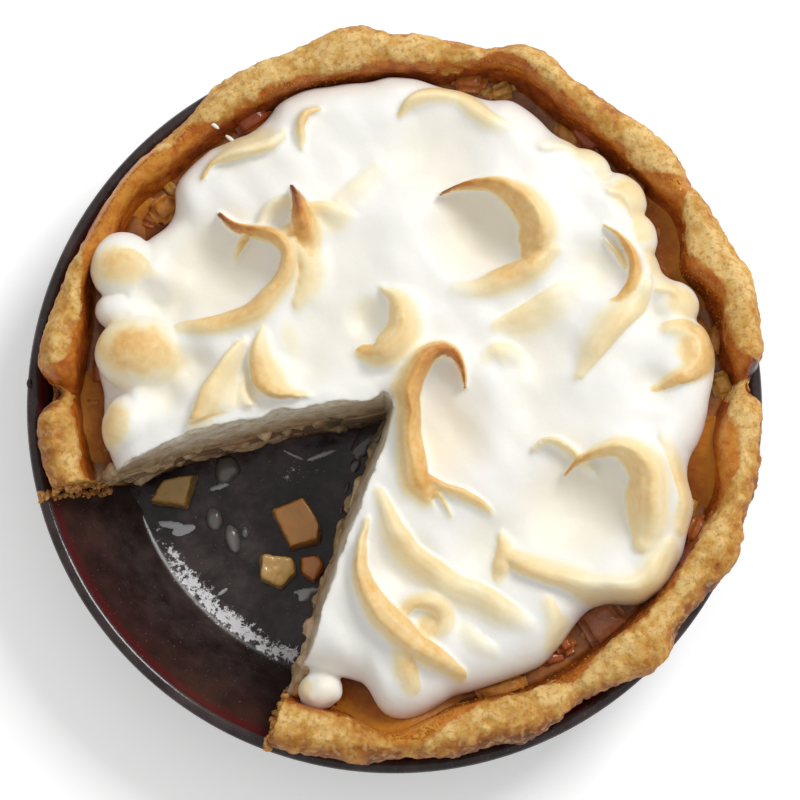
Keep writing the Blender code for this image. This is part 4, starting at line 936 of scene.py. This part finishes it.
def make_filling(finish, gel):
    body = swept_sector("filling_syrup", filling_paths, 320, 60, 20, finish, dense_from=0)
    points, normals = points_of(body), normals_of(body)
    cut = near_cut(points, 2.0)
    top = step(34, 38, points[:, 2])
    away = np.hypot(points[:, 0], points[:, 1])
    relief = cut * (1 - top) * (1.3 * layered_noise(points, 11, 3, 51)) + top * 0.8 * noise(points, 9, 55)
    relief *= step(11, 14, points[:, 2]) * (1 - step(116, 118, away))
    points += normals * relief[:, None]
    bend_cut(points)
    set_points(body, points)
    set_attributes(body, fruit=near_cut(points, 5) * 0.95, tint=0.15 + 0.12 * noise(points, 12, 63))
    ride(body, "filling", slot="apple_filling")

    rng = random.Random(12)
    parts = []
    for angle, side in CUTS:
        for index in range(70):
            out = 6 + 93 * rng.random()
            z = rng.uniform(8, 42)
            inward = rng.uniform(1.4, 3.6)
            size = (rng.uniform(4, 15), 6.0, rng.uniform(4, 8))
            out = min(out, 87 + 0.8 * (z - DISH_FLOOR) - size[0] / 2)
            place = (*from_tip(angle, out, side * inward), z)
            turn, tilt = angle + rng.uniform(-25, 25), rng.uniform(-50, 50)
            parts.append((apple_block(size, turn, tilt, place, index + 7), 0))
    face = joined("filling_cut", parts, gel)
    voxel_skin(face, 0.6, 16)
    points, normals = points_of(face), normals_of(face)
    relief = 0.8 * layered_noise(points, 5, 3, 73) * step(8, 11, points[:, 2])
    points += normals * relief[:, None]
    points[:, 2] = np.maximum(points[:, 2], DISH_FLOOR + 0.4)
    bend_cut(points)
    set_points(face, points)
    tip_side = step(40, 12, np.hypot(points[:, 0] - TIP[0], points[:, 1] - TIP[1]))
    set_attributes(face, tint=0.48 + 0.3 * noise(points, 9, 75) - 0.4 * tip_side)
    ride(face, slot="apple_filling")

    parts = []
    for x, y, length, width, turn, tint in RING_PIECES:
        place = (x, y, FILLING_TOP + 0.5)
        parts.append((apple_block((length, width, 7), turn, rng.uniform(-12, 12), place, int(x)), tint))
    angle = CUT_RIGHT + 3
    while angle < CUT_LEFT + 357:
        width = rng.uniform(7, 13)
        out = reach(angle, rim_inner(angle) - 1.0, CRUST_CENTRE) - rng.uniform(3.5, 8.0)
        place = (*from_tip(angle, out), FILLING_TOP + rng.uniform(-2.4, -0.8))
        parts.append((apple_block((rng.uniform(6, 9), width, rng.uniform(5, 6)), angle + rng.uniform(-30, 30),
                                  rng.uniform(-16, 16), place, int(angle * 10)), rng.uniform(0.5, 1.0)))
        angle += math.degrees(width / out) + rng.uniform(0.3, 2.0)
    pieces = joined("filling_apple", parts, finish)
    points, normals = points_of(pieces), normals_of(pieces)
    set_points(pieces, points + normals * (0.5 * layered_noise(points, 5.0, 3, 71))[:, None])
    set_attributes(pieces, fruit=np.ones(len(points)))
    ride(pieces, slot="apple_filling")


def make_pools(finish, crust):
    """Syrup standing between the meringue and the crust, climbing the crust, with bubbles at its edge."""
    steps, across = 700, 16
    share = np.linspace(0, 1, across)
    rows = []
    for degrees in np.linspace(CUT_RIGHT + 1, CUT_LEFT + 359, steps):
        lift = waves(degrees, POOLS)
        out = reach(degrees, rim_inner(degrees) + 0.4, CRUST_CENTRE) - 15 * (1 - share)
        level = FILLING_TOP - 2 + lift * (1 + 0.35 * share ** 3)
        rows.append(np.stack([*from_tip(degrees, out), level], axis=1))
    points = np.vstack(rows)
    points[:, 2] += 0.5 * layered_noise(points, 7, 2, 131)
    faces = grid_faces(np.arange(steps * across).reshape(steps, across)).tolist()
    obj = mesh_object("ring_syrup", points, faces, finish)
    # The tint rises from the meringue side to the crust side, so the syrup is darkest next to the meringue:
    # painted shade of the meringue.
    set_attributes(obj, tint=np.clip(np.tile(share, steps) * 1.1 - 0.15, 0, 1))
    thicken(obj, 0.5)
    ride(obj, slot="apple_filling")

    rng = random.Random(5)
    parts = []
    surface = surface_of(crust)
    for angle, width in BUBBLES:
        for _ in range(int(9 * width)):
            degrees = rng.gauss(angle, 0.55 * width)
            radius = rim_inner(degrees) + spilled(degrees) - 0.6 - abs(rng.gauss(0, 1.5))
            radius = min(radius, RIM_OUTER - 5)
            ex, ey = direction(degrees)
            place = surface.find_nearest((CRUST_CENTRE[0] + radius * ex, CRUST_CENTRE[1] + radius * ey,
                                          crust_height(degrees, radius)))[0]
            bm = bmesh.new()
            bmesh.ops.create_icosphere(bm, subdivisions=1, radius=rng.uniform(0.2, 0.5),
                                       matrix=Matrix.Translation(place))
            parts.append((bm, rng.uniform(0.6, 1.0)))
    ride(joined("syrup_bubbles", parts, finish), slot="apple_filling")


# ---------------------------------------------------------------- apple pieces on the dish floor

def make_chunk(name, finish):
    """A piece of apple on the dish floor: a tapering prism with a sloping top and soft edges."""
    corners, height, slope_x, slope_y = CHUNKS[name]
    base = DISH_FLOOR + GAP
    cx, cy = (sum(values) / len(corners) for values in zip(*corners))
    bm = bmesh.new()

    def ring(level):
        """The outline at a height above the foot, sheared along with the sloping top."""
        size = 1 - TAPER * level / height
        points = [(cx + (x - cx) * size, cy + (y - cy) * size) for x, y in corners]
        return [bm.verts.new((x, y, base + level + slope_x * (x - cx) + slope_y * (y - cy)))
                for x, y in points]

    low, high = ring(-height), ring(height)
    bm.faces.new(low)
    bm.faces.new(high)
    for k in range(len(corners)):
        j = (k + 1) % len(corners)
        bm.faces.new((low[k], low[j], high[j], high[k]))
    bmesh.ops.recalc_face_normals(bm, faces=bm.faces)
    cut = bmesh.ops.bisect_plane(bm, geom=bm.verts[:] + bm.edges[:] + bm.faces[:], plane_co=(0, 0, base),
                                 plane_no=(0, 0, 1), clear_inner=True)
    foot = [item for item in cut["geom_cut"] if isinstance(item, bmesh.types.BMEdge)]
    bmesh.ops.contextual_create(bm, geom=foot)
    obj = bmesh_object(name + "_flesh", bm, finish)
    voxel_skin(obj, 0.45, 32)
    points, normals = points_of(obj), normals_of(obj)
    seed = int(abs(cx))
    relief = 0.7 * layered_noise(points, 6, 3, seed) + 0.3 * layered_noise(points, 2, 2, seed + 5)
    set_points(obj, points + normals * (relief * step(base + 0.3, base + 2, points[:, 2]))[:, None])
    set_attributes(obj, tint=CHUNK_TINTS[name] + 0.1 * noise(points, 6, seed))
    ride(obj, name, slot="apple_flesh")


# ---------------------------------------------------------------- meringue

def smooth_curve(points, count):
    """Points spread along a Catmull-Rom curve through the given ones."""
    table = np.array(points, dtype=float)
    padded = np.vstack([2 * table[0] - table[1], table, 2 * table[-1] - table[-2]])
    where = np.linspace(0, len(table) - 1 - 1e-6, count)
    index = where.astype(int)
    t = (where - index)[:, None]
    a, b, c, d = (padded[index + k] for k in range(4))
    return 0.5 * (2 * b + (c - a) * t + (2 * a - 5 * b + 4 * c - d) * t ** 2
                  + (3 * b - a - 3 * c + d) * t ** 3)


def ripple(x, y, scale, seed):
    """Soft uneven waves between -1 and 1, about one scale long."""
    rng = random.Random(seed)
    total = np.zeros_like(x)
    for _ in range(5):
        angle, phase = rng.uniform(0, math.pi), rng.uniform(0, 2 * math.pi)
        length = scale * rng.uniform(0.7, 1.5)
        total += np.sin((x * math.cos(angle) + y * math.sin(angle)) * 2 * math.pi / length + phase)
    return total / 5


def edge_reach(degrees):
    """Distance of the meringue's edge from the dish's middle."""
    angles, edges = zip(*EDGE)
    around = [np.interp(degrees + offset, angles, edges, period=360) for offset in (-1.4, -0.7, 0, 0.7, 1.4)]
    return sum(around) / len(around)


def stroke_field(x, y, stroke):
    """Height of one ridge at each point and how toasted it is there."""
    side_sign, points = stroke
    crest = smooth_curve(points, 8 * len(points))
    crest[:, 2:] = np.clip(crest[:, 2:], 0.05, None)
    reach_out = 2.2 * crest[:, 3:5].max() + 1
    height, toast = np.zeros_like(x), np.zeros_like(x)
    near_it = ((x > crest[:, 0].min() - reach_out) & (x < crest[:, 0].max() + reach_out)
               & (y > crest[:, 1].min() - reach_out) & (y < crest[:, 1].max() + reach_out))
    px, py = x[near_it], y[near_it]
    if not len(px):
        return height, toast
    squared = (px[:, None] - crest[:, 0]) ** 2 + (py[:, None] - crest[:, 1]) ** 2
    near = squared.argmin(axis=1)
    distance = np.sqrt(squared[np.arange(len(px)), near])
    heading = np.gradient(crest[:, :2], axis=0)
    heading /= np.linalg.norm(heading, axis=1)[:, None]
    side = (px - crest[near, 0]) * -heading[near, 1] + (py - crest[near, 1]) * heading[near, 0]
    hollow = side * side_sign > 0
    _, _, rise, inner, outer, baked = crest[near].T
    across = distance / np.where(hollow, inner, outer)
    steep = np.sqrt(np.clip(1 - across ** 2, 0, 1))
    gentle = np.exp(-1.1 * across ** 2)
    grooves = 0.022 * rise * np.cos(4.2 * math.pi * across) * (across < 1)
    height[near_it] = rise * np.where(hollow, steep, gentle) + grooves
    crisp = 1 - step(0.88, 1.1, across)
    faded = 1 - 0.25 * step(0.1, 0.6, across) - 0.75 * step(0.6, 1.4, across)
    toast[near_it] = baked * np.where(hollow, crisp, faded)
    return height, toast


def meringue_top(x, y):
    """Top of the meringue without its rounded shoulder."""
    away = np.hypot(x - MERINGUE_CENTRE[0], y - MERINGUE_CENTRE[1])
    top = FILLING_TOP + MERINGUE_DEPTH + MERINGUE_DOME * (1 - (away / MERINGUE_SPAN) ** 2)
    top += 1.1 * ripple(x, y, 34, 4) + 0.6 * ripple(x, y, 15, 8)
    for bx, by, radius, depth in BOWLS:
        top -= depth * np.exp(-(((x - bx) ** 2 + (y - by) ** 2) / radius ** 2) ** 1.3)
    power = np.zeros_like(x)
    for stroke in STROKES.values():
        power += stroke_field(x, y, stroke)[0] ** 4
    return top + power ** 0.25


def meringue_outline(count):
    """Evenly spread points round the meringue: the outer curve and both cut edges."""
    points = [TIP]
    for degrees in np.linspace(CUT_RIGHT, CUT_LEFT + 360, 900):
        out = 98.0
        for _ in range(3):
            x, y = from_tip(degrees, out)
            out += float(edge_reach(np.degrees(np.arctan2(y, x)))) - math.hypot(x, y)
        points.append(from_tip(degrees, out))
    points.append(TIP)
    return resampled(np.array(points), count, endpoint=False)


def push_out_of_slice(points):
    """Move points that lie in the missing slice onto the nearer cut plane."""
    left, right = cut_distance(points[:, 0], points[:, 1])
    inside = (left < 0) & (right < 0)
    for (angle, side), distance, other in zip(CUTS, (left, right), (right, left)):
        ex, ey = direction(angle)
        chosen = inside & (distance >= other)
        points[chosen, 0] += side * distance[chosen] * ey
        points[chosen, 1] -= side * distance[chosen] * ex


def meringue_body(rings, around):
    """The spread meringue: rings of points from the middle to the outline, with a flat underside."""
    centre = np.array([18.0, 14.0])
    outline = meringue_outline(around)
    floor = FILLING_TOP + GAP
    bm = bmesh.new()
    share = np.linspace(0, 1, rings + 1)[1:] ** 0.8
    x = centre[0] + share[:, None] * (outline[:, 0] - centre[0])[None, :]
    y = centre[1] + share[:, None] * (outline[:, 1] - centre[1])[None, :]
    top = meringue_top(x, y)
    away = edge_reach(np.degrees(np.arctan2(y, x))) - np.hypot(x, y)
    shoulder = np.sqrt(np.clip(1 - np.clip(1 - away / MERINGUE_ROUND, 0, 1) ** 2, 0, 1))
    z = floor + 3 + (top - floor - 3) * shoulder
    middle_top = meringue_top(centre[:1], centre[1:])
    rows = [[bm.verts.new(co) for co in zip(x[k], y[k], z[k])] for k in range(rings)]
    rows.append([bm.verts.new((px, py, floor)) for px, py in outline])
    peak = bm.verts.new((centre[0], centre[1], middle_top[0]))
    under = bm.verts.new((centre[0], centre[1], floor))
    for k in range(around):
        j = (k + 1) % around
        bm.faces.new((peak, rows[0][k], rows[0][j]))
        bm.faces.new((under, rows[-1][j], rows[-1][k]))
        for inner, outer in zip(rows, rows[1:]):
            bm.faces.new((inner[k], outer[k], outer[j], inner[j]))
    return bm


def toast_map(points):
    """How toasted each point of the meringue is, from 0 to a little over 1."""
    x, y = points[:, 0], points[:, 1]
    wobble = layered_noise(points, 7, 3, 81)
    total = np.zeros(len(points))
    for stroke in STROKES.values():
        total = np.maximum(total, stroke_field(x + 0.5 * wobble, y - 0.5 * wobble, stroke)[1])
    for px, py, length, width, turn, strength in TOAST_PATCHES:
        along, across = along_and_across(x, y, (px, py), turn)
        u, v = along / length, across / width
        patch = 1 - step(0.45, 1.12, np.hypot(u, v) + 0.3 * wobble)
        total = np.maximum(total, strength * patch * (1 - 0.2 * u + 0.15 * v))
    return total * (1 + 0.15 * wobble)


def flatten_underside(obj, floor):
    """Merge the flat underside into a few large faces."""
    bm = bmesh.new()
    bm.from_mesh(obj.data)
    limit = (floor + 0.05) * MM
    low = [vert for vert in bm.verts if all(face.calc_center_median().z < limit for face in vert.link_faces)]
    bmesh.ops.dissolve_verts(bm, verts=low)
    bmesh.ops.triangulate(bm, faces=[face for face in bm.faces if len(face.verts) > 4])
    bm.to_mesh(obj.data)
    bm.free()


def make_meringue(finish):
    bm = meringue_body(rings=230, around=1500)
    for x, y, z, *radii in BALLS:
        shape = Matrix.Translation((x, y, z)) @ Matrix.Diagonal((*radii, 1))
        bmesh.ops.create_icosphere(bm, subdivisions=5, radius=1.0, matrix=shape)
    obj = bmesh_object("meringue_whipped", bm, finish)
    floor = FILLING_TOP + GAP

    def settle():
        """Flatten the underside onto the filling and the cut faces onto the cut planes."""
        points = points_of(obj)
        push_out_of_slice(points)
        points[:, 2] = np.where(points[:, 2] < floor + 0.6, floor, points[:, 2])
        set_points(obj, points)

    settle()
    voxel_skin(obj, 0.72, 4)
    thin = obj.modifiers.new("thin", "DECIMATE")
    thin.ratio = 0.48
    apply_modifiers(obj)
    settle()
    points, normals = points_of(obj), normals_of(obj)
    cut = near_cut(points, 1.4) * (1 - step(0.35, 0.7, np.abs(normals[:, 2])))
    toast = toast_map(points) * step(-0.15, 0.2, normals[:, 2]) * (1 - cut)
    away = np.hypot(points[:, 0] - MERINGUE_CENTRE[0], points[:, 1] - MERINGUE_CENTRE[1])
    level = floor + MERINGUE_DEPTH + MERINGUE_DOME * (1 - (away / MERINGUE_SPAN) ** 2)
    # Painted shade: low-lying, upward-facing, untoasted parts below the meringue's mean level get the warm
    # hollow tint.
    hollow = step(0, -8, points[:, 2] - level) * step(0.5, 0.9, normals[:, 2]) * (1 - cut)
    top = step(floor + 1, floor + 4, points[:, 2])
    relief = top * (0.45 * layered_noise(points * (1, 1, 0.6), 10, 3, 91)
                    + 0.10 * layered_noise(points, 2.2, 2, 95) * (0.3 + 2 * toast))
    drop = np.linalg.norm(points - SOUTH_BALL[:3], axis=1)
    relief += step(11, 8, drop) * (0.9 * noise(points, 7, 97) + 0.4 * noise(points, 4, 98))
    relief -= cut * np.abs(1.6 * layered_noise(points * (1, 1, 1.1), 4.2, 3, 99)) * top
    points += normals * relief[:, None]
    ragged = 1.1 * layered_noise(points * (1, 1, 0.4), 7, 3, 121)
    bend_cut(points, np.clip((points[:, 2] - floor) / 19, 0, 1.2), LEAN + ragged)
    set_points(obj, points)
    soaked = step(floor + 11, floor + 5, points[:, 2] + 4 * noise(points, 9, 77))
    set_attributes(obj, hollow=0.8 * hollow * (1 - step(0, 0.3, toast)), toast=toast, cut=cut, soaked=soaked)
    flatten_underside(obj, floor)
    ride(obj, "meringue", slot="toasted_meringue")


# ---------------------------------------------------------------- syrup and crumbs

def make_floor_syrup(finish):
    """Thin syrup on the dish floor: one sheet that rises above the glaze where blobs lie."""
    x, y = np.meshgrid(np.arange(-100, 0, 0.45), np.arange(-80, 0, 0.45), indexing="ij")
    flat = np.stack([x.ravel(), y.ravel(), np.zeros(x.size)], axis=1)
    uneven = layered_noise(flat, 6, 3, 101).reshape(x.shape)
    height, tint = np.full(x.shape, -0.35), np.zeros(x.shape)
    for bx, by, length, width, turn, tall, shade in FLOOR_BLOBS:
        along, across = along_and_across(x, y, (bx, by), turn)
        dome = 1 - ((along / length) ** 2 + (across / width) ** 2) * (1 + 0.5 * uneven)
        rise = np.where(dome > 0, tall * np.sqrt(np.clip(dome, 0, 1)), -0.35)
        tint = np.where(rise > height, shade, tint)
        height = np.maximum(height, rise)
    left, right = cut_distance(x, y)
    inside = (left < 1.0) & (right < 1.0) & (np.hypot(x, y) < 92)
    keep = inside & (height > -0.3)
    grown = keep.copy()
    for shift in ((1, 0), (-1, 0), (0, 1), (0, -1)):
        grown |= np.roll(keep, shift, axis=(0, 1))
    index = -np.ones(x.shape, dtype=int)
    index[grown] = np.arange(grown.sum())
    points = np.stack([x[grown], y[grown], DISH_FLOOR + height[grown]], axis=1)
    faces = grid_faces(index)
    faces = faces[(faces >= 0).all(axis=1)]
    obj = mesh_object("floor_syrup", points, faces.tolist(), finish)
    set_attributes(obj, tint=tint[grown])
    thicken(obj, 0.3)
    ride(obj, slot="apple_filling")


def make_crumbs(finish, crust, dish):
    """Crumbs at the crust's broken ends, and a few that fell on the dish."""
    rng = random.Random(77)
    parts = []
    crust_surface, dish_surface = surface_of(crust), surface_of(dish)

    def settled(place, size):
        """Where a crumb comes to rest: stuck to the crust, or straight below on the crust or the dish."""
        if crust_surface.find_nearest(place)[3] < 0.9 * size:
            return place
        below = [surface.ray_cast(place, Vector((0, 0, -1)))[0] for surface in (crust_surface, dish_surface)]
        heights = [hit.z for hit in below if hit]
        return Vector((place.x, place.y, max(heights) + 0.6 * size)) if heights else place

    def crumb(place, size):
        place = settled(place, size)
        bm = bmesh.new()
        bmesh.ops.create_icosphere(bm, subdivisions=1, radius=size)
        stretch = Vector([rng.uniform(0.6, 1.3) for _ in range(3)])
        for vert in bm.verts:
            vert.co = Vector([c * s for c, s in zip(vert.co, stretch)]) * rng.uniform(0.6, 1.4)
        turn = Matrix.Rotation(rng.uniform(0, 6), 4, Vector((rng.random(), rng.random(), 1)))
        bmesh.ops.transform(bm, matrix=Matrix.Translation(place) @ turn, verts=bm.verts)
        parts.append((bm, rng.random()))

    for angle, side in CUTS:
        for _ in range(420):
            out = rng.uniform(101, 124)
            low = 9 + (out - 100) * 1.42
            z = rng.uniform(max(low, 42.0) if out > 118 else low, 51)
            aside = rng.uniform(-0.8, 1.2) + (1.4 if z < 44 else 0) * rng.random()
            crumb(Vector((*from_tip(angle, out, -side * aside), z)), 0.2 + 1.1 * rng.random() ** 3)
    ride(joined("crust_crumbs", parts, finish), slot="baked_crust")


def make_glints_and_drip():
    """Two white flecks on the syrup that are painted glints, and a burnt drip on the dish's rim."""
    glint_fleck = Shader("white_glint", Base_Color=(0.9, 0.88, 0.84, 1), Roughness=0.4)
    burnt = Shader("burnt_syrup", Base_Color=(0.012, 0.008, 0.006, 1), Roughness=0.3)
    for name, (x, y, z, length, width, turn, slot) in GLINTS_AND_DRIP.items():
        bm = bmesh.new()
        shape = (Matrix.Translation((x, y, z)) @ Matrix.Rotation(math.radians(turn), 4, "Z")
                 @ Matrix.Diagonal((length, width, width, 1)))
        bmesh.ops.create_icosphere(bm, subdivisions=3, radius=1.0, matrix=shape)
        finish = burnt if slot == "dish_glaze" else glint_fleck
        ride(bmesh_object(name, bm, finish.material), slot=slot)


# ---------------------------------------------------------------- stage

def make_stage():
    finish = Shader("studio_floor", Base_Color=(1, 1, 1, 1), Roughness=0.9, Emission_Color=(1, 1, 1, 1),
                    Emission_Strength=0.22)
    bm = bmesh.new()
    bmesh.ops.create_grid(bm, x_segments=2, y_segments=2, size=FLOOR_HALF)
    floor = bmesh_object("studio_floor", bm, finish.material)

    world = bpy.data.worlds.new("studio")
    bpy.context.scene.world = world
    world.use_nodes = True
    background = world.node_tree.nodes["Background"]
    background.inputs["Color"].default_value = (1.0, 1.0, 1.0, 1)
    background.inputs["Strength"].default_value = SKY_STRENGTH

    lamp = bpy.data.lights.new("key", "AREA")
    lamp.size = KEY_SIZE
    lamp.energy = KEY_POWER
    light = bpy.data.objects.new("key", lamp)
    bpy.context.collection.objects.link(light)
    ex, ey = direction(KEY_AZIMUTH)
    flat, up = direction(KEY_HEIGHT)
    light.location = Vector((ex * flat, ey * flat, up)) * KEY_DISTANCE
    light.rotation_euler = (-light.location).to_track_quat("-Z", "Y").to_euler()

    camera_data = bpy.data.cameras.new("camera")
    camera_data.lens = CAMERA_LENS
    camera_data.sensor_width = 36.0
    camera_data.clip_start, camera_data.clip_end = 0.01, 20
    camera = bpy.data.objects.new("camera", camera_data)
    bpy.context.collection.objects.link(camera)
    tilt = math.radians(CAMERA_TILT)
    back = Vector((0, -math.sin(tilt), math.cos(tilt))) * CAMERA_DISTANCE
    camera.location = (Vector(CAMERA_AIM) + back) * MM
    camera.rotation_euler = (tilt, 0, 0)
    bpy.context.scene.camera = camera
    bpy.context.scene.view_settings.view_transform = "Standard"


def main():
    make_stage()
    flesh = apple_material()
    wet = filling_material()
    dish = make_dish(dish_material())
    crust = make_crust(crust_material())
    make_filling(wet, gel_material())
    make_pools(pool_material(), crust)
    make_meringue(meringue_material())
    for name in CHUNKS:
        make_chunk(name, flesh)
    make_floor_syrup(syrup_material())
    make_crumbs(crumb_material(), crust, dish)
    make_glints_and_drip()


main()
